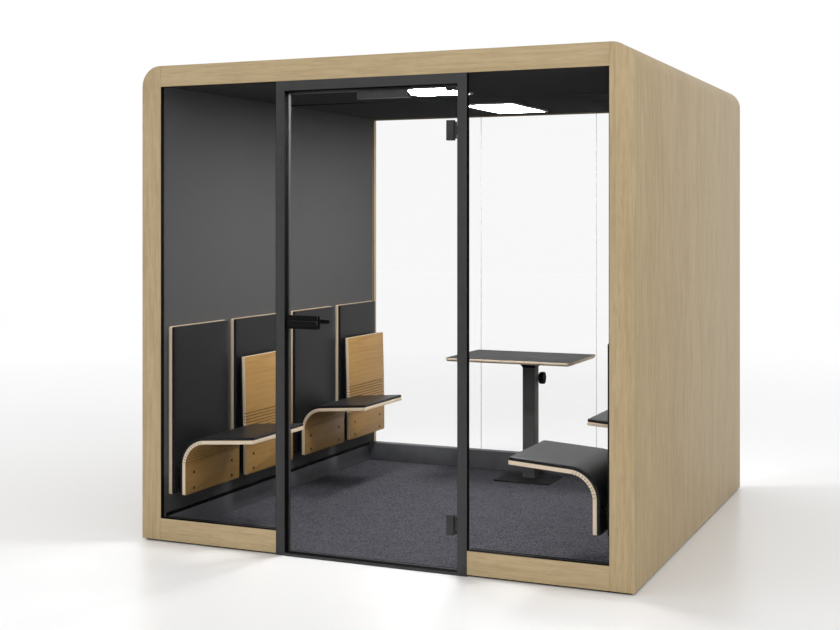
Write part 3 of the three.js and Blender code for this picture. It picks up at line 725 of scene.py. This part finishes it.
def build_shell(s):
    oak_wall("oak_wall_left", "left_wall", -1, s)
    oak_wall("oak_wall_right", "right_wall", 1, s)

    low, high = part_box("roof")
    roof = block("oak_roof", low, high)
    y = high.y - s.stile_depth
    past = 0.01
    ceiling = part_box("ceiling_lining")[1].z + GAP
    cut(roof, block("pocket", (low.x - past, -y, low.z - past), (high.x + past, y, ceiling)))
    soften(roof, s.edge, 2, 30)
    dress(roof, "pod", "oak_rail", "oak_level", "roof")

    for node in ("front_rail_left", "front_rail_right", "rear_rail"):
        rail = block("oak_" + node, *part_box(node), s.edge)
        dress(rail, "pod", "oak_rail", "oak_level", node)
        rail_cover(node, s)

    felt_edges(s)
    coat("felt", "left_lining", "right_lining")
    coat("ceiling", "ceiling_lining")
    coat("carpet", "carpet")
    coat("plinth", "floor_plate")


def rail_cover(node, s):
    """The dark cover over the inner face and the top of a bottom rail."""
    low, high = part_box(node)
    rear = low.y > 0
    past = 1.0
    if rear:
        near, far, top = low.y - s.rear_skirting, s.glass_line, s.skirting_height
        core_near, core_far = low.y - GAP, high.y + past
    else:
        near, far, top = -s.glass_line, high.y + s.skirting, high.z + s.skirting
        core_near, core_far = low.y - past, high.y + GAP
    cover = block("skirting_" + node, (low.x, near, carpet_top()), (high.x, far, top))
    core_low, core_high = (low.x - past, core_near, -past), (high.x + past, core_far, high.z + GAP)
    cut(cover, block("core", core_low, core_high))
    soften(cover, 0.0006)
    dress(cover, "pod", "frame_metal", "skirting" if rear else "rubber")


def felt_edges(s):
    """The ceiling's seam lip, black as a painted shadow, and the boards and strips along the two
    felt walls, with black strips of painted shadow above the boards.
    """
    low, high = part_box("ceiling_lining")
    ceiling, wide = low.z, high.x - 0.001
    # The felt's edge hangs lowest at the left wall and rises to the ceiling; it is painted black as
    # the seam's painted shadow
    end, half, drop, rise = -0.3, 0.006, 0.0065, 0.0055
    lip = block("ceiling_seam_shadow_lip", (-wide, -half, ceiling - drop), (end, half, ceiling - HAIR))
    pick(lip, "EDGE", lambda a, b: min(a.x, b.x) > end - SAME and max(a.z, b.z) < ceiling - rise)
    bpy.ops.transform.translate(value=(0, 0, rise))
    close()
    soften(lip, 0.0003)
    dress(lip, "pod", "felt", "rubber")

    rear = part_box("rear_rail")[0].y - s.rear_skirting - GAP
    board_top, shadow_gap_top = s.side_skirting, s.side_skirting + 0.017
    for name, side in (("left", -1), ("right", 1)):
        low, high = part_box(name + "_lining")
        face = high.x if side < 0 else low.x
        near, far = sorted((face - side * HAIR, face - side * 0.005))
        floor = carpet_top()
        for label, bottom, top, back, edge, slot, look in (
            ("skirting_board_", floor, board_top - HAIR, rear, 0.001, "frame_metal", "skirting"),
            # The black strip over the felt above each board is a painted shadow of the gap between
            # the felt and the board
            ("shadow_gap_strip_", board_top, shadow_gap_top, rear, 0.0012, "plinth", "rubber"),
            ("ceiling_strip_", high.z - 0.003, ceiling - HAIR, high.y, 0.0006, "felt", "felt"),
        ):
            piece = block(label + name, (near, low.y, bottom), (far, back, top), edge)
            dress(piece, "pod", slot, look)


# Glazing


def gasket(label, low, high, s):
    piece = ring("gasket_" + label, low, high, s.channel, 1, 0.0004)
    dress(piece, "pod", "plinth", "rubber")


def build_glazing(s):
    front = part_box("front_rail_left")[0].y + 0.001
    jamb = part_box("door_frame")[1].x + GAP
    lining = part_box("ceiling_lining")[1].y + GAP
    for node, side in (("front_glass_left", -1), ("front_glass_right", 1)):
        low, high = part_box(node)
        near, far = sorted((side * jamb, low.x if side < 0 else high.x))
        gasket(node, (near, front, low.z), (far, low.y - HAIR, high.z), s)
        # A thin lining of the gap between the pane and the oak
        gap = Vector((0.00025, 0, 0.00025))
        back = Vector((high.x, -lining, high.z))
        channel = ring("channel_" + node, low - gap, back + gap, HAIR, 1, 0)
        dress(channel, "pod", "plinth", "felt")
    low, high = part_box("rear_glass_1")[0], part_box("rear_glass_3")[1]
    gasket("rear_glass", (low.x, lining, low.z), (high.x, low.y - GAP, high.z), s)
    inset = 0.0004
    for i in (1, 2):
        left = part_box(f"rear_glass_{i}")[1].x + HAIR
        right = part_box(f"rear_glass_{i + 1}")[0].x - HAIR
        near, far = (left, low.y + inset, low.z), (right, high.y - inset, high.z)
        web = block(f"pane_joint_{i}", near, far, 0.0003)
        dress(web, "pod", "glass", "joint")
    coat(
        "glass", "front_glass_left", "front_glass_right",
        "rear_glass_1", "rear_glass_2", "rear_glass_3", "door_glass",
    )


# Door


def build_door():
    low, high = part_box("door_frame")
    leaf_low, leaf_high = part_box("door_glass")
    gap = 0.004
    x = leaf_high.x + gap
    opening_low, opening_high = leaf_low.z - gap, leaf_high.z + gap
    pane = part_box("front_glass_right")[0]
    lip = pane.y - GAP
    web_x = pane.x - GAP
    jamb = low.y + 0.061
    profile = block("door_frame_profile", low, (high.x, lip, high.z))
    # Each added block starts inside the lip, and at a depth of its own
    cut(
        profile,
        block("web", (-web_x, lip - 0.002, low.z), (web_x, jamb, high.z)),
        block("base", (low.x, lip - 0.004, low.z), (high.x, jamb, pane.z - GAP)),
        block("head", (-web_x, lip - 0.006, opening_high - 0.002), (web_x, high.y, high.z)),
        operation="UNION",
    )
    bolt_low, bolt_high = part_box("latch_bolt")
    spare = Vector((0.001, 0.001, 0.001))
    past = 0.1
    cut(
        profile,
        block("opening", (-x, low.y - past, opening_low), (x, high.y + past, opening_high)),
        block("strike", bolt_low - spare, bolt_high + spare),
    )
    soften(profile, 0.0015, 3)
    dress(profile, "pod", "frame_metal", "frame", "door_frame")
    for name, near, far, width in (
        ("door_reveal_liner", low.y + 0.002, leaf_low.y - 0.0032, 0.0012),
        ("door_seal", leaf_low.y - 0.003, leaf_high.y + 0.001, 0.0033),
    ):
        liner = ring(name, (-x, near, opening_low), (x, far, opening_high), width, 1, 0.0)
        dress(liner, "pod", "plinth", "rubber")
    stop = block(
        "door_stop", (-x, leaf_high.y + 0.015, opening_high - 0.0105),
        (x, high.y - 0.002, opening_high), 0.0012,
    )
    dress(stop, "pod", "frame_metal", "frame")
    build_hinges()
    build_lock(leaf_low, leaf_high)
    build_closer()


def build_hinges():
    inset, width = 0.003, 0.0345
    for end in ("top", "bottom"):
        coat("hardware", f"hinge_{end}_bracket", f"hinge_{end}_clamp")
        low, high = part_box(f"hinge_{end}_clamp")
        right = low.x + width
        covers = []
        # The outer cover is thin, because it turns close past the bracket
        for face, proud, edge in ((low.y, -0.0007, 0.0003), (high.y, 0.0022, 0.0012)):
            near, far = sorted((face, face + proud))
            covers.append(block(
                f"hinge_{end}_cover", (low.x + inset, near, low.z + inset),
                (right - inset, far, high.z - inset), edge,
            ))
        dress(join(f"hinge_{end}_covers", covers), "door", "hardware_metal", "hardware")


def build_lock(leaf_low, leaf_high):
    case_low, case_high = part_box("lock_case")
    edge = 0.0022
    outer = (case_high.x, leaf_low.y - GAP, case_high.z)
    inner = (case_low.x, leaf_high.y + GAP, case_low.z)
    halves = [
        block("lock_half", case_low, outer, edge, 3),
        block("lock_half", inner, case_high, edge, 3),
    ]
    dress(join("lock_cover", halves), "door", "lock_metal", "lock", "lock_case")
    coat("hardware", "latch_bolt")

    low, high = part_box("lever_handle")
    z = (low.z + high.z) / 2
    pivot = case_low.x + 0.05
    half, thick, corner = 0.010, 0.011, 0.0092
    rose_radius, rose_depth = 0.013, 0.005
    parts = []
    for side, end, face in ((-1, low.y, case_low.y), (1, high.y, case_high.y)):
        under = end - side * thick
        near, far = sorted((end, under))
        grip = block("lever_grip", (pivot - half, near, z - half), (high.x, far, z + half))
        round_edges(grip, corner, 8, along(1))
        soften(grip, 0.003, 4, 50)
        neck_at, rose_at = (pivot, (face + under) / 2, z), (pivot, face + side * 0.0029, z)
        neck = disc("lever_neck", 1, neck_at, 0.0085, abs(face - under), 40)
        rose = disc("lever_rose", 1, rose_at, rose_radius, rose_depth, 48, 0.001)
        parts += [grip, neck, rose]
    middle = (pivot, (case_low.y + case_high.y) / 2, z)
    parts.append(disc("lever_spindle", 1, middle, 0.007, case_high.y - case_low.y, 32))
    dress(join("lever_pair", parts), "lever", "lock_metal", "lock", "lever_handle")


def build_closer():
    low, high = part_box("closer_body")
    body = block("closer_housing", low, high)
    round_edges(body, 0.005, 6, along(2))
    # The arm's end of the housing is stepped down, with a socket for its pin
    step, past = 0.018, 0.01
    cut(body, block(
        "step", (high.x - 0.052, low.y + 0.003, high.z - step),
        (high.x + past, high.y + past, high.z + past),
    ))
    pin = (high.x - 0.018, (low.y + high.y) / 2, high.z - step)
    cut(body, disc("socket", 2, pin, 0.0054, 0.016, 32))
    soften(body, 0.0014, 3)
    dress(body, "door", "hardware_metal", "closer", "closer_body")
    coat("hardware", "closer_arm", "closer_link", "closer_bracket")


# Seats


def arc(radius, angle):
    """The point that an arc reaches when it starts upwards at the origin."""
    return Vector((radius * (1 - math.cos(angle)), 0, radius * math.sin(angle)))


def across(angle):
    return Vector((math.cos(angle), 0, -math.sin(angle)))


def ahead(angle):
    return Vector((math.sin(angle), 0, math.cos(angle)))


def lean(z, angle, s):
    """How far a nearly straight strip leans at a height above its tab."""
    radius = s.fold / angle
    if z < s.fold:
        return radius * (1 - math.cos(max(z, 0) / radius))
    return radius * (1 - math.cos(angle)) + (z - s.fold) * math.tan(angle)


def strip_place(point, angle, s):
    """Depth into the plywood, distance along the strip and the direction across it."""
    if abs(angle) < STRAIGHT:
        return point.x - lean(point.z, angle, s), s.tab + point.z, across(0)
    if point.z <= 0:
        return point.x, s.tab + point.z, across(0)
    radius = s.fold / angle
    turned = math.atan2(point.z, radius - point.x)
    if 0 <= turned <= angle:
        away = math.hypot(radius - point.x, point.z)
        return radius - away, s.tab + turned * radius, across(turned)
    gone = Vector((point.x, 0, point.z)) - arc(radius, angle)
    depth, run = gone.dot(across(angle)), gone.dot(ahead(angle))
    return depth, s.tab + s.fold + run, across(angle)


def strip(name, near, far, half, angle, s):
    """A bent strip between two depths: a tab, a fold and a board, from one swept section."""
    piece = begin(
        name, bpy.ops.mesh.primitive_plane_add, (far - near, 2 * half, 1), size=1,
        location=((near + far) / 2, 0, -s.tab),
    )
    pick(piece, "FACE")
    extrude((0, 0, s.tab))
    bpy.ops.mesh.spin(
        steps=3 * s.kerfs, angle=abs(angle), center=(s.fold / angle, 0, 0),
        axis=(0, -math.copysign(1, angle), 0),
    )
    extrude(ahead(angle) * s.board)
    pick_all()
    bpy.ops.mesh.remove_doubles(threshold=1e-6)
    bpy.ops.mesh.normals_make_consistent(inside=False)
    close()
    total = s.tab + s.fold + s.board

    def corner(a, b):
        """Whether an edge crosses the strip's thickness at one of its four corners."""
        (depth_a, run_a, _), (depth_b, run_b, _) = (strip_place(v, angle, s) for v in (a, b))
        at_ends = all(run < SAME or run > total - SAME for run in (run_a, run_b))
        at_sides = abs(a.y - b.y) < 1e-6 and abs(abs(a.y) - half) < 1e-5
        return at_ends and at_sides and abs(depth_a - depth_b) > 1e-3

    round_edges(piece, s.corner, 7, corner)
    return piece


def saw_kerfs(piece, half, angle, s):
    """Saws the kerfs that let the plywood fold. They close as it bends."""
    pitch = s.fold / s.kerfs
    radius = s.fold / angle
    closed = pitch * 0.5 * (s.ply + s.skin) / radius if abs(angle) > STRAIGHT else 0
    width = max(s.kerf - closed, 0.0012)
    past, deep = 0.01, s.ply + 0.004
    saws = []
    for i in range(1, s.kerfs):
        turned = angle * i / s.kerfs
        saw = block("saw", (s.skin, -half - past, -width / 2), (deep, half + past, width / 2))
        spot = Matrix.Translation(arc(radius, turned))
        saw.data.transform(spot @ Matrix.Rotation(turned, 4, "Y"))
        saws.append(saw)
    cut(piece, join("saws", saws))


def mark_strip(piece, angle, s):
    """Stores each point's place in the strip, and tells faces, sawn edges and kerfs apart."""
    rim = 0.002

    def spot(point):
        depth, run, _ = strip_place(point, angle, s)
        return depth, point.y, run

    def kind(face):
        depth, run, way = strip_place(face.center, angle, s)
        flat = abs(face.normal.dot(way)) > 0.6
        within = rim < depth < s.ply - rim if flat else abs(face.normal.y) < 0.3
        # Faces inside the kerfs take the dark kerf finish, which is painted shade
        if within and s.tab < run < s.tab + s.fold:
            return PLY_KERF_SHADE
        return PLY_FACE if flat else PLY_EDGE

    mark_ply(piece.data, spot, kind)


def model_seat(angle, half, s):
    """The plywood strip and its pad, about the start of the fold."""
    way = ahead(angle)
    end = arc(s.fold / angle, angle)
    ply = strip("seat_ply", 0, s.ply, half, angle, s)
    soften(ply, 0.0012, 2, 40)
    # Cuts that keep the tab and the board flat when the fold turns
    slice_at(ply, [Vector((0, 0, -0.023))], ahead(0))
    slice_at(ply, [end + 0.022 * way], way)
    saw_kerfs(ply, half, angle, s)
    smooth(ply, 30)
    mark_strip(ply, angle, s)
    pad = strip("seat_pad", s.crown - s.pad, -HAIR, half - 0.0012, angle, s)
    soften(pad, s.pad_edge, 4, 40)
    slice_up(pad, Vector((0, -half, 0)), Vector((0, 2 * half, 0)))
    slice_up(pad, Vector((0, 0, -s.tab)), Vector((0, 0, s.tab)))
    slice_up(pad, end, s.board * way)
    swell(pad, lambda point: strip_place(point, angle, s)[0] > -s.bonded, s.crown)
    return ply, pad


def model_back(low, high, s):
    """A back panel's plywood, pad and batten, at a left seat."""
    face = low.x + GAP + s.ply
    board = block("back_ply", low, (face, high.y, high.z))
    round_edges(board, s.corner, 7, along(0))
    soften(board, 0.0012, 2, 40)
    mark_ply(
        board.data, lambda point: (point.x - low.x, point.y, point.z),
        lambda side: PLY_FACE if abs(side.normal.x) > 0.6 else PLY_EDGE,
    )
    inset = 0.0015
    pad = block(
        "back_pad", (face + HAIR, low.y + inset, low.z + inset),
        (face + s.pad - s.crown, high.y - inset, high.z - inset),
    )
    round_edges(pad, s.corner - inset, 7, along(0))
    soften(pad, s.pad_edge, 4, 40)
    slice_up(pad, low, Vector((0, high.y - low.y, 0)))
    slice_up(pad, low, Vector((0, 0, high.z - low.z)))
    swell(pad, lambda point: point.x < face + s.bonded, s.crown)
    margin, bottom, top = 0.036, low.z + 0.022, low.z + 0.122
    batten = block(
        "batten", (face + s.pad + HAIR, low.y + margin, bottom),
        (high.x, high.y - margin, top), 0.002,
    )
    return board, pad, batten


def build_seats(s):
    low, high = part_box("seat_left_1_back")
    fold_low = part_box("seat_left_1_fold")[0]
    half = (high.y - low.y) / 2
    middle = (low.y + high.y) / 2
    start = Vector((fold_low.x + s.pad, middle, fold_low.z + s.tab))
    ply_look = "ply ply_edge kerf"
    masters = {angle: model_seat(angle, half, s) for angle in (s.down, s.up)}
    backs = model_back(low, high, s)
    screws = join("screws", [
        screw("screw", (s.ply + 0.0006, y, z - s.tab), 0.0068)
        for y in (-0.173, 0.173) for z in (0.025, 0.101)
    ])
    for side in ("left", "right"):
        for i in range(1, 5):
            name = f"seat_{side}_{i}"
            box_low, box_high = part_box(name + "_back")
            y = (box_low.y + box_high.y) / 2
            turn = Matrix.Rotation(math.pi, 4, "Z") if side == "right" else Matrix.Identity(4)
            origin = Vector((start.x if side == "left" else -start.x, y, start.z))
            at_fold = Matrix.Translation(origin) @ turn
            at_back = Matrix.Translation((0, y, 0)) @ turn @ Matrix.Translation((0, -middle, 0))
            angle = s.down if i % 2 == 1 else s.up
            end = at_fold @ arc(s.fold / angle, angle)
            ply = copy(masters[angle][0], name + "_ply", at_fold)
            pad = copy(masters[angle][1], name + "_pad", at_fold)
            for piece, look in ((ply, ply_look), (pad, "pad")):
                paint(piece, look)
                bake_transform(piece)
            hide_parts(name + "_fold", name + "_board")
            board = copy(backs[0], name + "_back_ply", at_back)
            dress(board, "pod", "plywood", ply_look, name + "_back")
            back_pad = copy(backs[1], name + "_back_pad", at_back)
            dress(back_pad, "pod", "plywood", "pad")
            batten = copy(backs[2], name + "_batten", at_back)
            dress(batten, "pod", "plywood", "rubber")
            heads = copy(screws, name + "_screws", at_fold)
            dress(heads, "pod", "hardware_metal", "plinth")
    for piece in (*masters[s.down], *masters[s.up], *backs, screws):
        bpy.data.objects.remove(piece)


# Table


def build_table():
    low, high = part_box("table_top")
    sheet = 0.0012
    board = block("table_board", low, (high.x, high.y, high.z - sheet))
    round_edges(board, 0.012, 6, along(2))
    round_edges(board, 0.009, 1, lambda a, b: max(abs(a.z - low.z), abs(b.z - low.z)) < 1e-5)
    soften(board, 0.0006, 2, 30)
    mark_ply(
        board.data, lambda point: (point.z - low.z, point.x, point.y),
        lambda side: PLY_FACE if side.normal.z < -0.95 else PLY_EDGE,
    )
    dress(board, "table", "table_board", "laminate ply_edge", "table_top")
    top = block(
        "table_laminate", (low.x + GAP, low.y + GAP, high.z - sheet),
        (high.x - GAP, high.y - GAP, high.z),
    )
    round_edges(top, 0.0118, 6, along(2))
    soften(top, 0.0004, 2, 30)
    dress(top, "table", "table_board", "laminate")
    build_column()
    build_knob()


def build_column():
    low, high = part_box("table_post")
    x, y = (low.x + high.x) / 2, (low.y + high.y) / 2
    column_x, column_y = 0.038, 0.039

    def upright(name, wide, deep, bottom, top, *walls):
        """A tube about the column's axis."""
        return tube(name, (x - wide, y - deep, bottom), (x + wide, y + deep, top), *walls)

    head_low = high.z - 0.048
    post = upright("table_inner_post", 0.033, 0.034, low.z, head_low, 0.005, 0.003)
    dress(post, "table", "table_metal", "column", "table_post")
    head = block("table_head", (low.x, low.y, head_low), high)
    pick(head, "FACE", lambda c, n: n.z < -0.9)
    bpy.ops.transform.resize(
        value=(2 * column_x / (high.x - low.x), 2 * column_y / (high.y - low.y), 1),
        center_override=(x, y, head_low),
    )
    close()
    soften(head, 0.003, 3, 20)
    dress(head, "table", "table_metal", "lock")

    low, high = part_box("table_column")
    plate = low.z + 0.006
    outer = upright("table_column_tube", column_x, column_y, plate, high.z, 0.006, 0.003)
    dress(outer, "pod", "table_metal", "column", "table_column")
    bush = upright("table_bush", 0.0348, 0.0358, high.z - 0.03, high.z + 0.0001, 0.005, 0.0013)
    dress(bush, "pod", "knob_plastic", "rubber")
    foot = block("table_foot_plate", low, (high.x, y + 0.077, plate))
    round_edges(foot, 0.018, 8, along(2))
    soften(foot, 0.0014, 3)
    dress(foot, "pod", "table_metal", "plinth")
    knob_low, knob_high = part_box("table_knob")
    z = (knob_low.z + knob_high.z) / 2
    right, width, half = x + column_x - 0.008, 0.044, 0.02
    lug = block(
        "table_clamp_lug", (right - width, y + column_y - 0.001, z - half),
        (right, high.y, z + half),
    )
    cut(lug, disc("bore", 0, (right, (knob_low.y + knob_high.y) / 2, z), 0.0063, 0.0726, 32))
    soften(lug, 0.002, 3)
    dress(lug, "pod", "table_metal", "lock")


def build_knob():
    low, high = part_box("table_knob")
    y, z = (low.y + high.y) / 2, (low.z + high.z) / 2
    thick = 0.026
    wheel_low = high.x - thick
    centre = ((wheel_low + high.x) / 2, y, z)
    radius = (high.y - low.y) / 2
    wheel = disc("knob_wheel", 0, centre, radius, thick, 96)
    lobe = 2 * math.pi / 6
    hollow = 0.96

    def between(point):
        """Whether a rim point lies between two lobes."""
        turn = math.atan2(point.z - z, point.y - y) % lobe
        return 0.3 * lobe < turn < 0.7 * lobe

    pick(wheel, "FACE", lambda c, n: abs(n.x) < 0.5 and between(c))
    bpy.ops.transform.resize(value=(1, hollow, hollow), center_override=centre)
    close()
    soften(wheel, 0.001, 3, 40)
    pick(wheel, "FACE", lambda c, n: n.x > 0.95 and math.hypot(c.y - y, c.z - z) < 0.6 * radius)
    bpy.ops.mesh.inset(thickness=0.006)
    extrude((-0.0015, 0, 0))
    close()
    hub = disc("knob_hub", 0, (wheel_low - 0.001, y, z), 0.015, 0.006, 40, 0.001)
    stem = disc("knob_stem", 0, ((low.x + wheel_low) / 2, y, z), 0.006, wheel_low - low.x, 32)
    knob = join("knob_body", [wheel, hub, stem])
    dress(knob, "knob", "knob_plastic", "rubber", "table_knob")


# Lights


def build_lights():
    inset = Vector((0.0108, 0.0108, 0.001))
    for node in ("light_front", "light_rear"):
        low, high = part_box(node)
        rim = ring(node + "_rim", low, high, 0.011, 2, 0.0015)
        dress(rim, "pod", "hardware_metal", "rim", node)
        glow = block(node + "_diffuser", low + inset, high - inset, 0.0006)
        dress(glow, "pod", "diffuser", "diffuser")


# Studio


def studio_floor():
    """A pale floor that brightens to the background's white as it goes away."""
    f = Finish("studio_floor", (0.9, 0.9, 0.9), 0.3)
    shade = f.noise(f.place(), 0.6, 2.0)
    f.to(f.tint(shade, (0.81, 0.81, 0.814), (0.825, 0.825, 0.825)), "Base Color")
    away = f.nodes.new("ShaderNodeVectorMath")
    away.operation = "LENGTH"
    f.link(f.place(), away.inputs[0])
    f.set(f.shader, **{"Emission Color": (*WHITE, 1)})
    f.to(f.span(away.outputs["Value"], 0.0, 0.12, 2.0, 9.0), "Emission Strength")
    deselect()
    bpy.ops.mesh.primitive_plane_add(size=60)
    floor = bpy.context.object
    floor.name = "studio_floor"
    floor.data.materials.append(f.material)


def lamp(name, place, aim, size, power):
    data = bpy.data.lights.new(name, "AREA")
    data.shape = "RECTANGLE"
    data.size, data.size_y = size
    data.energy = power
    light = bpy.data.objects.new(name, data)
    light.location = place
    light.rotation_euler = (Vector(aim) - Vector(place)).to_track_quat("-Z", "Y").to_euler()
    bpy.context.scene.collection.objects.link(light)


def build_stage(scene):
    studio_floor()
    world = bpy.data.worlds.new("studio")
    world.use_nodes = True
    sky = world.node_tree.nodes["Background"]
    sky.inputs["Color"].default_value = (*WHITE, 1)
    sky.inputs["Strength"].default_value = 1.0
    scene.world = world
    scene.view_settings.view_transform = "Standard"
    lamp("key", (2.5, -7.5, 4.0), (0, 0, 1.0), (4.0, 4.0), 80)

    data = bpy.data.cameras.new("photo_view")
    data.sensor_width = 36
    data.lens = 57.14
    data.shift_y = -0.1136
    camera = bpy.data.objects.new("photo_view", data)
    camera.location = (2.58201, -6.53128, 1.53669)
    camera.rotation_euler = (math.pi / 2, 0, math.radians(23.6))
    scene.collection.objects.link(camera)
    scene.camera = camera


# Add-on


class POD_OT_shell(bpy.types.Operator):
    """Models the oak walls, roof and rails and finishes the linings, floor and carpet"""

    bl_idname = "pod.shell"
    bl_label = "Oak shell"

    def execute(self, context):
        build_shell(context.scene.pod_shell)
        return {"FINISHED"}


class POD_OT_glazing(bpy.types.Operator):
    """Finishes the fixed panes and models their black gaskets and clear joints"""

    bl_idname = "pod.glazing"
    bl_label = "Glazing"

    def execute(self, context):
        build_glazing(context.scene.pod_shell)
        return {"FINISHED"}


class POD_OT_door(bpy.types.Operator):
    """Models the door frame and its seal, the hinge covers, the lock, the levers and the closer"""

    bl_idname = "pod.door"
    bl_label = "Glass door"

    def execute(self, context):
        build_door()
        return {"FINISHED"}


class POD_OT_seats(bpy.types.Operator):
    """Models the kerf-bent plywood seats with their pads, back panels, battens and screws"""

    bl_idname = "pod.seats"
    bl_label = "Fold-down seats"

    def execute(self, context):
        build_seats(context.scene.pod_seats)
        return {"FINISHED"}


class POD_OT_table(bpy.types.Operator):
    """Models the table top, its telescopic column, base plate and clamp knob"""

    bl_idname = "pod.table"
    bl_label = "Table"

    def execute(self, context):
        build_table()
        return {"FINISHED"}


class POD_OT_lights(bpy.types.Operator):
    """Models the rims and the opal diffusers of the ceiling lights"""

    bl_idname = "pod.lights"
    bl_label = "Ceiling lights"

    def execute(self, context):
        build_lights()
        return {"FINISHED"}


class POD_OT_stage(bpy.types.Operator):
    """Sets the pale floor, the studio light and the camera"""

    bl_idname = "pod.stage"
    bl_label = "Studio"

    def execute(self, context):
        build_stage(context.scene)
        return {"FINISHED"}


class POD_PT_panel(bpy.types.Panel):
    bl_label = "Acoustic Office Pod"
    bl_idname = "POD_PT_panel"
    bl_space_type = "VIEW_3D"
    bl_region_type = "UI"
    bl_category = "Pod"

    def draw(self, context):
        layout = self.layout
        for operator in OPERATORS:
            layout.operator(operator.bl_idname)
        for name in SETTINGS:
            box = layout.box()
            group = getattr(context.scene, name)
            for field in SETTINGS[name].__annotations__:
                box.prop(group, field)


SETTINGS = {
    "pod_shell": PodShellSettings,
    "pod_seats": PodSeatSettings,
    "pod_colours": PodColourSettings,
}
OPERATORS = (
    POD_OT_shell,
    POD_OT_glazing,
    POD_OT_door,
    POD_OT_seats,
    POD_OT_table,
    POD_OT_lights,
    POD_OT_stage,
)


def register():
    for name, group in SETTINGS.items():
        bpy.utils.register_class(group)
        setattr(bpy.types.Scene, name, bpy.props.PointerProperty(type=group))
    for cls in (*OPERATORS, POD_PT_panel):
        bpy.utils.register_class(cls)


def unregister():
    for cls in (POD_PT_panel, *reversed(OPERATORS)):
        bpy.utils.unregister_class(cls)
    for name, group in reversed(SETTINGS.items()):
        delattr(bpy.types.Scene, name)
        bpy.utils.unregister_class(group)


def main():
    register()
    bpy.ops.pod.shell()
    bpy.ops.pod.glazing()
    bpy.ops.pod.door()
    bpy.ops.pod.seats()
    bpy.ops.pod.table()
    bpy.ops.pod.lights()
    bpy.ops.pod.stage()


if __name__ == "__main__":
    main()
